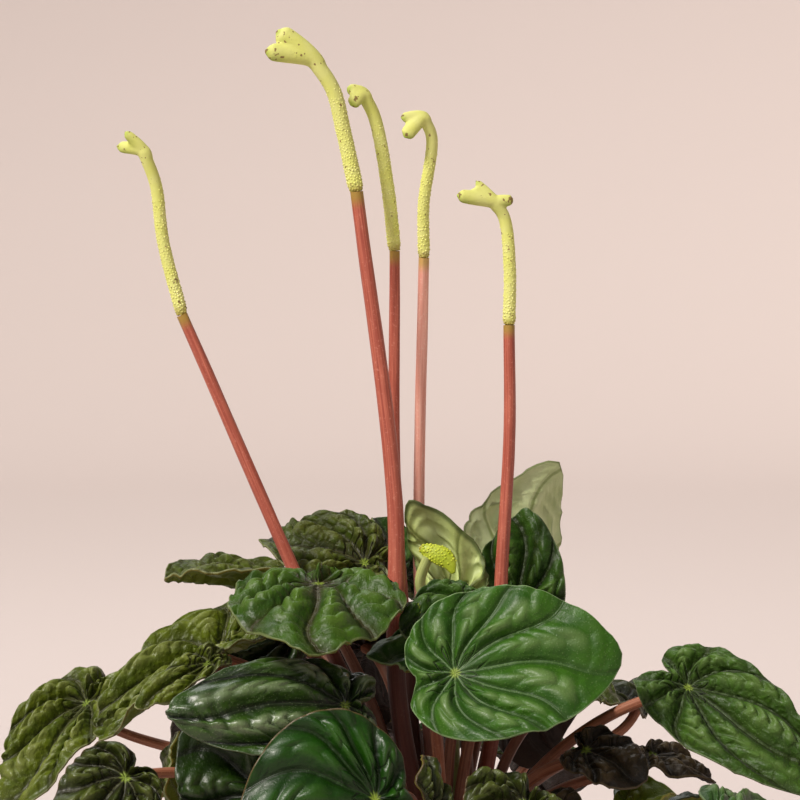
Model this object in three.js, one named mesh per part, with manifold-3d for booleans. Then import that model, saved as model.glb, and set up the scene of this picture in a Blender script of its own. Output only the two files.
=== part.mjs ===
// Ripple peperomia growing in a plain round pot: a crown of red stalks, heart-shaped corrugated
// leaves, and tall flower spikes with notched, crested tips.
// Millimetres, +Z up. The origin is the centre of the pot's flat base; the plant's front faces -Y.
import * as THREE from 'three';
import { mergeVertices } from 'three/addons/utils/BufferGeometryUtils.js';
import Module from 'manifold-3d';

const wasm = await Module();
wasm.setup();

// ---------------------------------------------------------------- driving dimensions

const GAP = 0.35;             // clearance where one piece seats on another
const POT = { height: 106, rim: 62, base: 45, wall: 4.5, floor: 6, lip: 2.2, sides: 28 };
const SOIL = { top: 95, mound: 4 };
const CROWN = { foot: 84, top: 108, radius: 13, rootRing: 8, sides: 14 };

// Petioles. lean: turn from the blade's face towards its tip where it arrives. rise, arch: how far it
// keeps its first course, as a share of its climb and a fixed part. spread: how far out that course
// goes. settle: how far it keeps its last one, as a share of its reach.
const PETIOLE = {
  root: 2.0,
  tip: 1.5,
  sides: 5,
  steps: 5,
  lean: 45,
  rise: 0.56,
  arch: 34,
  spread: 0.45,
  settle: 0.25,
};

// Every blade. forward: sweep of the main veins to the tip. edgeCalm: how much the furrows fade at
// the edge. fork: how deep each field is split there. notch, notchWidth: the cut between the back
// lobes. blunt: roundness of the tip. crease: width of a fold. wave, waveStep: the edge's slow waves.
const BLADE = {
  thickness: 1.0,
  forward: 0.42,
  edgeCalm: 0.45,
  fork: 0.35,
  notch: 0.62,
  notchWidth: 0.3,
  blunt: 0.06,
  crease: 3,
  wave: 1.2,
  waveStep: 2.4,
};

// Growth forms of a blade. lobe: length of the back lobes as a share of the tip's. taper: how slowly
// the outline narrows from lobe to tip. sectors: fields between main veins. ripple: depth of the
// furrows. rings: where the blade's facets are split on the way out to its edge. notch: its own cut
// between the back lobes, where that isn't the usual one.
const FORMS = {
  heart: { lobe: 0.3, taper: 0.88, sectors: 9, ripple: 2.6, rings: [0.34, 0.7, 1] },
  long: { lobe: 0.2, taper: 0.78, sectors: 9, ripple: 2.6, rings: [0.34, 0.7, 1] },
  broad: { lobe: 0.72, taper: 0.6, sectors: 9, ripple: 2.8, rings: [0.34, 0.7, 1] },
  round: { lobe: 0.25, taper: 1.15, sectors: 11, ripple: 1.9, rings: [0.3, 0.58, 0.82, 1], notch: 0.2 },
  puckered: { lobe: 0.4, taper: 0.95, sectors: 9, ripple: 3.2, rings: [0.3, 0.58, 0.82, 1] },
  young: { lobe: 0.3, taper: 0.9, sectors: 7, ripple: 1.7, rings: [0.4, 0.75, 1] },
};

// One row a leaf. at: where the petiole meets the blade. tip: the blade's point. width across the
// blade. roll: turn of its face about the line from at to tip, 0 facing up and + to the right of it.
// droop: bend of the midrib from at to tip. fold: slope of the two halves up from the midrib. lean:
// the petiole's own, where it isn't the usual one.
const LEAVES = [
  // upper tier, front
  { at: [4, -50, 174], tip: [52, -48, 178], width: 48, roll: 60, droop: 20, fold: 12, form: 'round' },
  { at: [-36, -28, 197], tip: [-37, -65, 181], width: 52, roll: 0, droop: 30, fold: -9, form: 'puckered' },
  { at: [12, -25, 189], tip: [-12, -36, 185], width: 28, roll: -35, droop: 25, fold: -5, form: 'heart' },
  { at: [2, -17, 175], tip: [-22, -28, 175], width: 20, roll: -35, droop: 15, fold: 8, form: 'long' },
  { at: [-28, -42, 163.5], tip: [-79, -54, 163], width: 33, roll: -60, droop: 18, fold: -14, form: 'long' },
  // upper tier, back
  { at: [-23, 18, 198], tip: [-55, 24, 204], width: 34, roll: -32, droop: 24, fold: 6, form: 'heart' },
  { at: [-46, 36, 184.5], tip: [-84, 17, 192.5], width: 38, roll: 0, droop: 20, fold: 28, form: 'heart' },
  { at: [5, 0, 189], tip: [-9, 4, 219], width: 22, roll: 85, droop: 20, fold: 24, form: 'long' },
  { at: [20, 30, 186], tip: [37.5, 40, 227.5], width: 40, roll: -85, droop: 25, fold: 12, form: 'heart' },
  { at: [24, 8, 184], tip: [27, 15, 215], width: 29, roll: 10, droop: 14, fold: 16, form: 'heart' },
  { at: [-11, 34, 192], tip: [-18, 46, 211], width: 28, roll: 20, droop: 20, fold: 10, form: 'young' },
  { at: [0, 58, 184], tip: [4, 94, 174], width: 42, roll: 0, droop: 25, fold: 8, form: 'heart' },
  // left side
  { at: [-66, -17, 175], tip: [-101, -31, 152], width: 27, roll: -20, droop: 18, fold: 38, form: 'broad' },
  { at: [-106, -6, 158.5], tip: [-129, -24, 123], width: 27, roll: -20, droop: 26, fold: 24, form: 'heart',
    lean: 0 },
  { at: [-91, -52, 144], tip: [-110, -60, 125.5], width: 29, roll: -55, droop: 20, fold: 0, form: 'heart' },
  { at: [-77, -24, 130], tip: [-78.5, -30, 154], width: 20, roll: 112, droop: 10, fold: 15, form: 'young' },
  { at: [-51, -46, 139], tip: [-75, -43, 157], width: 42, roll: -75, droop: 15, fold: 8, form: 'heart' },
  // right side
  { at: [73, -25, 166], tip: [111, -45, 137], width: 33, roll: 45, droop: 25, fold: 8, form: 'heart' },
  { at: [98, -6, 115], tip: [130, -9, 96], width: 40, roll: 0, droop: 25, fold: 8, form: 'heart' },
  { at: [62, 32, 152.5], tip: [44, 46, 155.5], width: 30, roll: 0, droop: 25, fold: 12, form: 'young',
    lean: 0 },
  { at: [35, -4, 162], tip: [54, -8, 160], width: 28, roll: 15, droop: 25, fold: 10, form: 'young' },
  { at: [43, -24, 147], tip: [60, -34, 139], width: 22, roll: 32, droop: 20, fold: 5, form: 'young' },
  { at: [64, -2, 142], tip: [82, -8, 134], width: 17, roll: 12, droop: 25, fold: 5, form: 'young' },
  { at: [53, -22, 126], tip: [69, -26, 136], width: 22, roll: 20, droop: 20, fold: 15, form: 'young' },
  // low front
  { at: [-19, -76, 142], tip: [-58, -84, 130], width: 58, roll: -76, droop: 18, fold: 0, form: 'round' },
  { at: [29, -31, 129], tip: [40, -44, 123], width: 24, roll: 40, droop: 20, fold: 5, form: 'young' },
  { at: [24, -64, 138], tip: [11, -76, 128], width: 34, roll: -30, droop: 25, fold: 8, form: 'puckered' },
  { at: [-3, -52, 134], tip: [-6, -48, 150], width: 15, roll: 20, droop: 20, fold: 25, form: 'young' },
  // skirt below the canopy, front to sides
  { at: [6, -90, 113], tip: [2, -120, 96], width: 42, roll: 0, droop: 25, fold: 5, form: 'heart' },
  { at: [46, -82, 118], tip: [60, -109, 101], width: 42, roll: 0, droop: 25, fold: 5, form: 'heart' },
  { at: [83, -48, 119], tip: [111, -65, 103], width: 42, roll: 0, droop: 25, fold: 5, form: 'heart' },
  { at: [94, 36, 119], tip: [124, 48, 101], width: 42, roll: 0, droop: 25, fold: 8, form: 'heart' },
  { at: [-98, 12, 126], tip: [-130, 20, 108], width: 44, roll: 0, droop: 25, fold: 8, form: 'heart' },
  // back of the canopy
  { at: [24, 56, 166], tip: [30, 84, 124], width: 42, roll: 0, droop: 25, fold: 5, form: 'round' },
  { at: [-23, 52, 168], tip: [-32, 79, 126], width: 46, roll: 0, droop: 25, fold: 5, form: 'puckered' },
  { at: [72, 72, 113], tip: [96, 96, 97], width: 42, roll: 0, droop: 25, fold: 8, form: 'heart' },
  { at: [-78, 60, 124], tip: [-104, 82, 106], width: 44, roll: 0, droop: 25, fold: 8, form: 'heart' },
  { at: [-8, 96, 134], tip: [-10, 132, 114], width: 44, roll: 0, droop: 25, fold: 5, form: 'round' },
  { at: [31, 104, 124], tip: [43, 134, 104], width: 42, roll: 0, droop: 25, fold: 8, form: 'heart' },
  { at: [-50, 98, 130], tip: [-66, 128, 108], width: 42, roll: 0, droop: 25, fold: 8, form: 'heart' },
  // low under the upper tier
  { at: [-46, 8, 177], tip: [-76, 1, 170], width: 28, roll: -40, droop: 20, fold: 4, form: 'long' },
  { at: [-58, 34, 160], tip: [-84, 46, 138], width: 36, roll: 0, droop: 20, fold: 5, form: 'young' },
  { at: [-3, 78, 158], tip: [-1, 98, 142], width: 34, roll: 0, droop: 20, fold: 5, form: 'young' },
  { at: [-68, -38.5, 175], tip: [-88, -48, 163], width: 12, roll: -34, droop: 12, fold: 24, form: 'young' },
];

// Flower spikes. path: the red stalk's course from the crown up. head: the green spike's course from
// there. crest: where each flared lobe of its tip ends, and how broad it is. radii: stalk foot, stalk
// top and spike.
const SPIKES = [
  {
    path: [[-6.5, 0, 103], [-13, -1, 130], [-42.5, 0, 195], [-77.3, 1, 275]],
    head: [[-77.3, 1, 275], [-82.9, 1, 297], [-85, 0, 314], [-88.5, -2, 324]],
    crest: [[-94, -4, 330, 1.1], [-96.7, -1, 325.4, 1.4]],
    radii: [2.3, 1.7, 2.0],
  },
  {
    path: [[-2, -6.5, 103], [-12.5, -7, 160], [-13.6, -7, 220], [-24.9, -6, 312]],
    head: [[-24.9, -6, 312], [-28.8, -6, 330], [-31.8, -7, 342], [-37.5, -8, 351]],
    crest: [[-48.5, -10, 359.5, 2.6], [-52, -12, 353.5, 2.2]],
    radii: [3.2, 1.9, 2.4],
  },
  {
    path: [[-3.2, 4, 103], [-9, 12.5, 160], [-13.3, 9, 222], [-13.6, 7, 294]],
    head: [[-13.6, 7, 294], [-15.8, 6, 314], [-19.6, 5, 334], [-23, 3, 341]],
    crest: [[-28, 1, 342.8, 1.3], [-26.8, -1, 337.5, 1.6]],
    radii: [2.0, 1.6, 2.1],
  },
  {
    path: [[1.5, 6, 103], [-3.5, 11, 150], [-6.3, 14.8, 200], [-6.2, 14.5, 222], [-4.8, 6, 292]],
    head: [[-4.8, 6, 292], [-4.9, 4, 308], [-2.5, 1, 328], [-5, -1, 334]],
    crest: [[-12, -3, 334, 1.2], [-10.8, -4, 328, 1.8]],
    radii: [1.9, 1.6, 1.9],
  },
  {
    path: [[6.5, -4.5, 103], [16, -4, 150], [18.6, -2, 200], [20.8, -1, 240], [20.7, 0, 272]],
    head: [[20.7, 0, 272], [20.8, 0, 290], [19.2, 0, 304], [16.5, -1, 308.5]],
    crest: [[4.8, -4, 311, 1.7], [22, -1, 309.6, 1.3], [10.4, -2, 315.4, 0.9]],
    radii: [2.3, 1.7, 2.0],
  },
];

// The youngest spike, still pale all over: its stalk, and the comb it has unfolded into.
const YOUNG_SPIKE = {
  path: [[3.8, 1.8, 103], [4, 3, 150], [-1, -1, 182], [-6, -6, 195], [-3.5, -9.5, 203.5]],
  comb: [[-6, -9, 206], [-2, -10, 204.5], [2, -11, 202.5], [4, -12, 198.5]],
  combRadii: [3.2, 1.6],
  radii: [1.8, 1.6],
};

const COLOURS = { blade: 0x2f5a2a, petiole: 0xa8504a, spike: 0xc9cf5a, soil: 0x3a2c22, pot: 0xe7dfd2 };

// ---------------------------------------------------------------- small helpers

const vector = (p) => new THREE.Vector3(...p);
const radians = THREE.MathUtils.degToRad;
const FRONT = new THREE.Vector3(0, -1, 0);
const smoothstep = (low, high, x) => THREE.MathUtils.smoothstep(x, low, high);

function toGeometry(vertices, triangles) {
  const geometry = new THREE.BufferGeometry();
  const positions = vertices.flatMap((v) => v.toArray());
  geometry.setAttribute('position', new THREE.Float32BufferAttribute(positions, 3));
  geometry.setIndex(triangles.flat());
  geometry.computeVertexNormals();
  return geometry;
}

function toSolid(geometry) {
  const bare = geometry.clone();
  bare.deleteAttribute('normal');
  bare.deleteAttribute('uv');
  const merged = mergeVertices(bare, 1e-4);
  return new wasm.Manifold(new wasm.Mesh({
    numProp: 3,
    vertProperties: new Float32Array(merged.attributes.position.array),
    triVerts: new Uint32Array(merged.index.array),
  }));
}

function solidGeometry(solid) {
  const mesh = solid.getMesh();
  const geometry = new THREE.BufferGeometry();
  geometry.setAttribute('position', new THREE.BufferAttribute(new Float32Array(mesh.vertProperties), 3));
  geometry.setIndex(new THREE.BufferAttribute(new Uint32Array(mesh.triVerts), 1));
  geometry.computeVertexNormals();
  return geometry;
}

// A closed solid of revolution about Z from [radius, height] pairs that start and end on the axis.
function turned(profile, sides) {
  const points = profile.map(([r, z]) => new THREE.Vector2(r, z));
  return new THREE.LatheGeometry(points, sides).rotateX(Math.PI / 2);
}

// A closed round or oval rod along a curve. radiusAt(u) gives [across, through] at the share u;
// across lies along the direction wide where one is given.
function rod(curve, radiusAt, sides, steps, wide) {
  const frames = curve.computeFrenetFrames(steps, false);
  if (wide) {
    frames.tangents.forEach((tangent, i) => {
      frames.normals[i].copy(wide).addScaledVector(tangent, -wide.dot(tangent)).normalize();
      frames.binormals[i].crossVectors(tangent, frames.normals[i]);
    });
  }
  const vertices = [];
  const triangles = [];
  for (let i = 0; i <= steps; i++) {
    const centre = curve.getPointAt(i / steps);
    const [across, through] = radiusAt(i / steps);
    for (let j = 0; j < sides; j++) {
      const turn = (2 * Math.PI * j) / sides;
      vertices.push(centre.clone()
        .addScaledVector(frames.normals[i], across * Math.cos(turn))
        .addScaledVector(frames.binormals[i], through * Math.sin(turn)));
    }
  }
  for (let i = 0; i < steps; i++) {
    for (let j = 0; j < sides; j++) {
      const a = i * sides + j;
      const b = i * sides + ((j + 1) % sides);
      triangles.push([a, b, b + sides], [a, b + sides, a + sides]);
    }
  }
  const last = steps * sides;
  for (let j = 1; j < sides - 1; j++) {
    triangles.push([0, j + 1, j], [last, last + j, last + j + 1]);
  }
  return toGeometry(vertices, triangles);
}

// ---------------------------------------------------------------- leaves

// The outline's distance from the petiole at an angle from the midrib, as a share of the tip's.
function outlineShare(form, angle) {
  const turn = Math.hypot(angle, BLADE.blunt) - BLADE.blunt;
  const body = form.lobe + (1 - form.lobe) * Math.exp(-turn / form.taper);
  const fromNotch = (Math.PI - Math.abs(angle)) / BLADE.notchWidth;
  const notch = (form.notch ?? BLADE.notch) * Math.exp(-fromNotch * fromNotch);
  return body * (1 - notch);
}

function widestShare(form) {
  let widest = 0;
  for (let angle = 0; angle < Math.PI; angle += 0.02) {
    widest = Math.max(widest, outlineShare(form, angle) * Math.sin(angle));
  }
  return widest;
}

// A main vein leaves the petiole at angle start and sweeps forward as it nears the edge.
const veinAngle = (start, out) => start - BLADE.forward * Math.sin(start) * out ** 1.4;

// Height of the furrowed blade: 0 along each main vein, full between two, forked near the edge.
function rippleHeight(form, start, out) {
  const sector = (2 * Math.PI) / form.sectors;
  const between = Math.abs(Math.sin((Math.PI * start) / sector)) ** 0.8;
  const forked = Math.abs(Math.sin((2 * Math.PI * start) / sector)) ** 0.8;
  const fork = BLADE.fork * smoothstep(0.5, 1, out);
  const rise = smoothstep(0, 0.5, out) * (1 - BLADE.edgeCalm * smoothstep(0.75, 1, out));
  return form.ripple * rise * (between * (1 - fork) + forked * fork);
}

// The blade's own axes at the petiole: forward along the midrib, side to its left, and face upwards.
function bladeAxes(leaf) {
  const chord = vector(leaf.tip).sub(vector(leaf.at));
  const ahead = chord.clone().normalize();
  const left = new THREE.Vector3(0, 0, 1).cross(ahead).normalize();
  const up = ahead.clone().cross(left);
  const roll = radians(leaf.roll);
  const face = up.clone().multiplyScalar(Math.cos(roll)).addScaledVector(left, -Math.sin(roll));
  const side = left.clone().multiplyScalar(Math.cos(roll)).addScaledVector(up, Math.sin(roll));
  const half = radians(leaf.droop) / 2;
  return {
    forward: ahead.clone().multiplyScalar(Math.cos(half)).addScaledVector(face, Math.sin(half)),
    side,
    face: face.clone().multiplyScalar(Math.cos(half)).addScaledVector(ahead, -Math.sin(half)),
    length: chord.length() * (half / Math.sin(half)),
  };
}

// A point of the blade's middle surface, and the direction in which its thickness is laid on.
function bladePoint(leaf, axes, start, out, phase) {
  const form = FORMS[leaf.form];
  const angle = veinAngle(start, out);
  const reach = axes.length * outlineShare(form, angle) * out;
  const along = reach * Math.cos(angle);
  const across = reach * Math.sin(angle) * (leaf.width / 2 / (axes.length * widestShare(form)));
  const lift = rippleHeight(form, start, out)
    + Math.tan(radians(leaf.fold)) * (Math.hypot(across, BLADE.crease) - BLADE.crease)
    + BLADE.wave * out * out * Math.sin(3 * start + phase);
  const bend = radians(leaf.droop) / axes.length;
  const turn = bend * along;
  const normal = axes.face.clone()
    .multiplyScalar(Math.cos(turn))
    .addScaledVector(axes.forward, Math.sin(turn));
  const point = vector(leaf.at)
    .addScaledVector(axes.forward, Math.sin(turn) / bend)
    .addScaledVector(axes.face, -(1 - Math.cos(turn)) / bend)
    .addScaledVector(axes.side, across)
    .addScaledVector(normal, lift);
  return { point, normal };
}

// The blade as a thin closed solid: rings of points on the main veins and midway between them,
// split into the same triangles on both faces.
function bladeGeometry(leaf, index) {
  const form = FORMS[leaf.form];
  const axes = bladeAxes(leaf);
  const spokes = 2 * form.sectors;
  const phase = BLADE.waveStep * index;
  const middle = [bladePoint(leaf, axes, 0, 0, phase)];
  for (const out of form.rings) {
    for (let j = 0; j < spokes; j++) {
      middle.push(bladePoint(leaf, axes, (2 * Math.PI * j) / spokes - Math.PI, out, phase));
    }
  }
  const offset = (sign) => middle.map(({ point, normal }) =>
    point.clone().addScaledVector(normal, (sign * BLADE.thickness) / 2));
  const below = middle.length;
  const face = [];
  for (let j = 0; j < spokes; j++) {
    const next = (j + 1) % spokes;
    face.push([0, 1 + j, 1 + next]);
    for (let i = 0; i < form.rings.length - 1; i++) {
      const near = 1 + i * spokes;
      const far = near + spokes;
      face.push([near + j, far + j, far + next], [near + j, far + next, near + next]);
    }
  }
  const under = face.map(([a, b, c]) => [below + a, below + c, below + b]);
  const rim = 1 + (form.rings.length - 1) * spokes;
  const edge = [];
  for (let j = 0; j < spokes; j++) {
    const a = rim + j;
    const b = rim + ((j + 1) % spokes);
    edge.push([a, below + a, below + b], [a, below + b, b]);
  }
  return toGeometry([...offset(1), ...offset(-1)], [...face, ...under, ...edge]);
}

// A petiole from the crown to just under its blade, arriving from below and from the stem's side.
function petioleSolid(leaf) {
  const axes = bladeAxes(leaf);
  const lean = radians(leaf.lean ?? PETIOLE.lean);
  const arrive = axes.face.clone()
    .multiplyScalar(Math.cos(lean))
    .addScaledVector(axes.forward, Math.sin(lean));
  const seat = BLADE.thickness / 2 + GAP + PETIOLE.tip * Math.sin(lean);
  const end = vector(leaf.at).addScaledVector(axes.face, -seat);
  const away = Math.atan2(leaf.at[1], leaf.at[0]);
  const steep = Math.atan2(leaf.at[2] - CROWN.top, Math.hypot(leaf.at[0], leaf.at[1]));
  const start = new THREE.Vector3(
    CROWN.rootRing * Math.cos(away),
    CROWN.rootRing * Math.sin(away),
    THREE.MathUtils.lerp(CROWN.foot + 14, CROWN.top - 4, steep / (Math.PI / 2)),
  );
  const reach = start.distanceTo(end);
  const outward = (PETIOLE.spread * Math.hypot(leaf.at[0], leaf.at[1])) / reach;
  const leave = new THREE.Vector3(Math.cos(away) * outward, Math.sin(away) * outward, 1).normalize();
  const curve = new THREE.CubicBezierCurve3(
    start,
    start.clone().addScaledVector(leave, PETIOLE.rise * (end.z - start.z + PETIOLE.arch)),
    end.clone().addScaledVector(arrive, -reach * PETIOLE.settle),
    end,
  );
  const radiusAt = (u) => {
    const r = THREE.MathUtils.lerp(PETIOLE.root, PETIOLE.tip, u);
    return [r, r];
  };
  return toSolid(rod(curve, radiusAt, PETIOLE.sides, PETIOLE.steps));
}

// ---------------------------------------------------------------- crown, spikes, soil and pot

function crownSolid() {
  const body = toSolid(turned([
    [0, CROWN.foot], [CROWN.radius - 3, CROWN.foot], [CROWN.radius, CROWN.foot + 6],
    [CROWN.radius, CROWN.top - 8], [CROWN.radius - 3, CROWN.top - 2], [0, CROWN.top],
  ], CROWN.sides));
  const petioles = LEAVES.map(petioleSolid);
  const sockets = [...SPIKES.map((spike) => stalkGeometry(spike, GAP)), youngSpikeGeometry(GAP)].map(toSolid);
  return wasm.Manifold.union([body, ...petioles]).subtract(wasm.Manifold.union(sockets));
}

// The red stalk of a flower spike. swell widens it and lengthens its foot to cut the socket.
function stalkGeometry(spike, swell = 0) {
  const [foot, top] = spike.radii;
  const points = spike.path.map(vector);
  points[0].z -= swell;
  const radiusAt = (u) => {
    const r = THREE.MathUtils.lerp(foot, top, u) + swell;
    return [r, r];
  };
  return rod(new THREE.CatmullRomCurve3(points), radiusAt, 8, 9);
}

// A crest's lobe on its way out: from the spike's radius to its own, ever flatter, to a blunt end.
function lobeRadii(radius, end, u) {
  const blunt = Math.sqrt(1 - 0.75 * smoothstep(0.72, 1, u));
  const across = THREE.MathUtils.lerp(0.95 * radius, end, u) * (1 + 0.2 * Math.sin(Math.PI * u)) * blunt;
  return [across, across * (1 - 0.35 * u)];
}

// The green spike: a blunt rod that bends over and flares into the lobes of its crest.
function headGeometry(spike) {
  const radius = spike.radii[2];
  const points = spike.head.map(vector);
  points[0].addScaledVector(points[1].clone().sub(points[0]).normalize(), GAP + 0.1);
  const [before, neck] = points.slice(-2);
  const body = rod(new THREE.CatmullRomCurve3(points), () => [radius, radius], 8, 8);
  const lobes = spike.crest.map(([x, y, z, end]) => {
    const tip = new THREE.Vector3(x, y, z);
    const wide = tip.clone().sub(neck).cross(FRONT).normalize();
    const curve = new THREE.CatmullRomCurve3([before.clone().lerp(neck, 0.6), neck, tip]);
    return toSolid(rod(curve, (u) => lobeRadii(radius, end, u), 6, 3, wide));
  });
  return solidGeometry(wasm.Manifold.union([toSolid(body), ...lobes]));
}

function youngSpikeGeometry(swell = 0) {
  const [foot, top] = YOUNG_SPIKE.radii;
  const points = YOUNG_SPIKE.path.map(vector);
  points[0].z -= swell;
  const stalk = rod(new THREE.CatmullRomCurve3(points), (u) => {
    const r = THREE.MathUtils.lerp(foot, top, u) + swell;
    return [r, r];
  }, 6, 7);
  const [across, through] = YOUNG_SPIKE.combRadii;
  const comb = rod(new THREE.CatmullRomCurve3(YOUNG_SPIKE.comb.map(vector)), (u) => {
    const swollen = Math.sin(Math.PI * (0.12 + 0.8 * u));
    return [across * swollen, through * swollen];
  }, 8, 7);
  return solidGeometry(toSolid(stalk).add(toSolid(comb)));
}

function potGeometry() {
  const { height, rim, base, wall, floor, lip } = POT;
  const slope = (z) => base + ((rim - base) * z) / height;
  return turned([
    [0, 0], [base - 2, 0], [base, 2], [slope(height - 14), height - 14],
    [slope(height - 12) + lip, height - 11], [rim + lip, height - 2], [rim + lip - 2, height],
    [rim - wall + 2, height], [rim - wall, height - 2],
    [slope(floor + 4) - wall, floor + 4], [slope(floor) - wall - 4, floor], [0, floor],
  ], POT.sides);
}

// Soil fills the pot to below its rim, mounded to the crown, which stands in a plain hole in it.
function soilGeometry() {
  const { height, rim, base, wall, floor } = POT;
  const inside = (z) => base + ((rim - base) * z) / height - wall - GAP;
  const body = toSolid(turned([
    [0, floor + GAP], [inside(floor) - 5, floor + GAP], [inside(floor + 4) - 0.4, floor + 4 + GAP],
    [inside(SOIL.top), SOIL.top], [inside(SOIL.top) * 0.7, SOIL.top + 1.5],
    [inside(SOIL.top) * 0.4, SOIL.top + SOIL.mound], [0, SOIL.top + SOIL.mound],
  ], POT.sides));
  const hole = toSolid(turned([
    [0, CROWN.foot - GAP], [CROWN.radius - 3 + GAP, CROWN.foot - GAP], [CROWN.radius + GAP, CROWN.foot + 6],
    [CROWN.radius + GAP, CROWN.top + 20], [0, CROWN.top + 20],
  ], CROWN.sides));
  return solidGeometry(body.subtract(hole));
}

// ---------------------------------------------------------------- assembly

const plant = new THREE.Group();

function place(name, geometry, colour, roughness) {
  const material = new THREE.MeshStandardMaterial({ color: colour, roughness, metalness: 0 });
  const mesh = new THREE.Mesh(geometry, material);
  mesh.name = name;
  plant.add(mesh);
}

const numbered = (word, index) => `${word}_${String(index + 1).padStart(2, '0')}`;

place('pot', potGeometry(), COLOURS.pot, 0.4);
place('soil', soilGeometry(), COLOURS.soil, 1);
place('crown_and_petioles', solidGeometry(crownSolid()), COLOURS.petiole, 0.6);
LEAVES.forEach((leaf, i) => place(numbered('leaf', i), bladeGeometry(leaf, i), COLOURS.blade, 0.4));
SPIKES.forEach((spike, i) => {
  place(numbered('flower_stalk', i), stalkGeometry(spike), COLOURS.petiole, 0.6);
  place(numbered('flower_spike', i), headGeometry(spike), COLOURS.spike, 0.7);
});
place('young_flower_spike', youngSpikeGeometry(), COLOURS.spike, 0.6);

export default plant;
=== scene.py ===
"""Looks of a ripple peperomia in a plain pot: furrowed leaves, red stalks and crested flower spikes.

Blades, stalks and spikes are grown from the same tables and rules as the solids that they stand for, at a
finer step, so each sits where its solid is. Lengths in the tables are millimetres; meshes are in metres.
"""

import math

import bpy
import numpy as np
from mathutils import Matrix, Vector


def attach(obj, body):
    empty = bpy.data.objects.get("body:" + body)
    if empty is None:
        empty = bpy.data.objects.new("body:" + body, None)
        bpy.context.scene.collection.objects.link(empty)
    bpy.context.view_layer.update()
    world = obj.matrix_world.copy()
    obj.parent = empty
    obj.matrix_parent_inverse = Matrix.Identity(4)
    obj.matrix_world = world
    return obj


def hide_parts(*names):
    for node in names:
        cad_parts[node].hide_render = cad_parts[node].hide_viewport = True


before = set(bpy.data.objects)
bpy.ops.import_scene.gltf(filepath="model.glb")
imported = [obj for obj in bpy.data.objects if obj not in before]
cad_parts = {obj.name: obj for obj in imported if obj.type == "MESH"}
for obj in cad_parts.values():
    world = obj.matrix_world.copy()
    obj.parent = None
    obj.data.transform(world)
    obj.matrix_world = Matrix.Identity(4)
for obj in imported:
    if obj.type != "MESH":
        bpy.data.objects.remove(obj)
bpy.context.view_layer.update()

MM = 0.001
TAU = 2 * math.pi

# ---------------------------------------------------------------- sizes and growth

GAP = 0.35
CROWN = {"foot": 84, "top": 108, "radius": 13, "root_ring": 8}
PETIOLE = {"root": 2.0, "tip": 1.5, "lean": 45, "rise": 0.56, "arch": 34, "spread": 0.45, "settle": 0.25}
HANGING = (13, 19)  # leaves whose petiole meets the blade square
BLADE = {"thickness": 1.0, "forward": 0.42, "edge_calm": 0.45, "fork": 0.35}
POT = {"height": 106, "rim": 62, "base": 45, "wall": 4.5, "floor": 6, "lip": 2.2}
SOIL_TOP = 95

# Growth forms of a blade. lobe, taper, sectors, ripple and notch are its outline and main furrows. quilt is
# the depth of the cushions between side veins, pitch the distance from one side vein to the next, scallop
# how far the margin swells where a cushion meets it.
FORM_SIZES = ("lobe", "taper", "sectors", "ripple", "quilt", "pitch", "scallop", "notch")
FORMS = {
    name: dict(zip(FORM_SIZES, sizes))
    for name, *sizes in (
        ("heart", 0.3, 0.88, 9, 2.6, 2.7, 4.8, 0.02, 0.62),
        ("long", 0.2, 0.78, 9, 2.6, 1.7, 5.6, 0.015, 0.62),
        ("ribbed", 0.2, 0.78, 9, 2.6, 2.6, 6.4, 0.015, 0.62),
        ("broad", 0.72, 0.6, 9, 2.8, 3.0, 5.6, 0.035, 0.62),
        ("round", 0.25, 1.15, 11, 1.9, 1.7, 7.0, 0.006, 0.2),
        ("puckered", 0.4, 0.95, 9, 3.2, 3.8, 4.8, 0.025, 0.62),
        ("young", 0.3, 0.9, 7, 1.7, 1.4, 3.6, 0.02, 0.62),
    )
}
# Side veins: how far forward they lean in the middle of a field, how far the next field's are set on, and the
# waves in their course, each with its size, its turns round the blade and its turns outwards.
SIDE_VEIN = {"lean": 0.75, "set_on": 0.37, "waves": ((0.32, 2.3, 7.0), (0.22, 4.1, -11.0))}
DEPTH = 1.4  # a living furrow is this much deeper than the faceted solid's
# Share of that extra depth by which a blade sinks to stay centred on its solid. Two upper leaves lie on
# others, which give way under them.
SINK = {4: 0.0, 5: 0.0, 16: 3.0, 10: 3.0}

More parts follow.
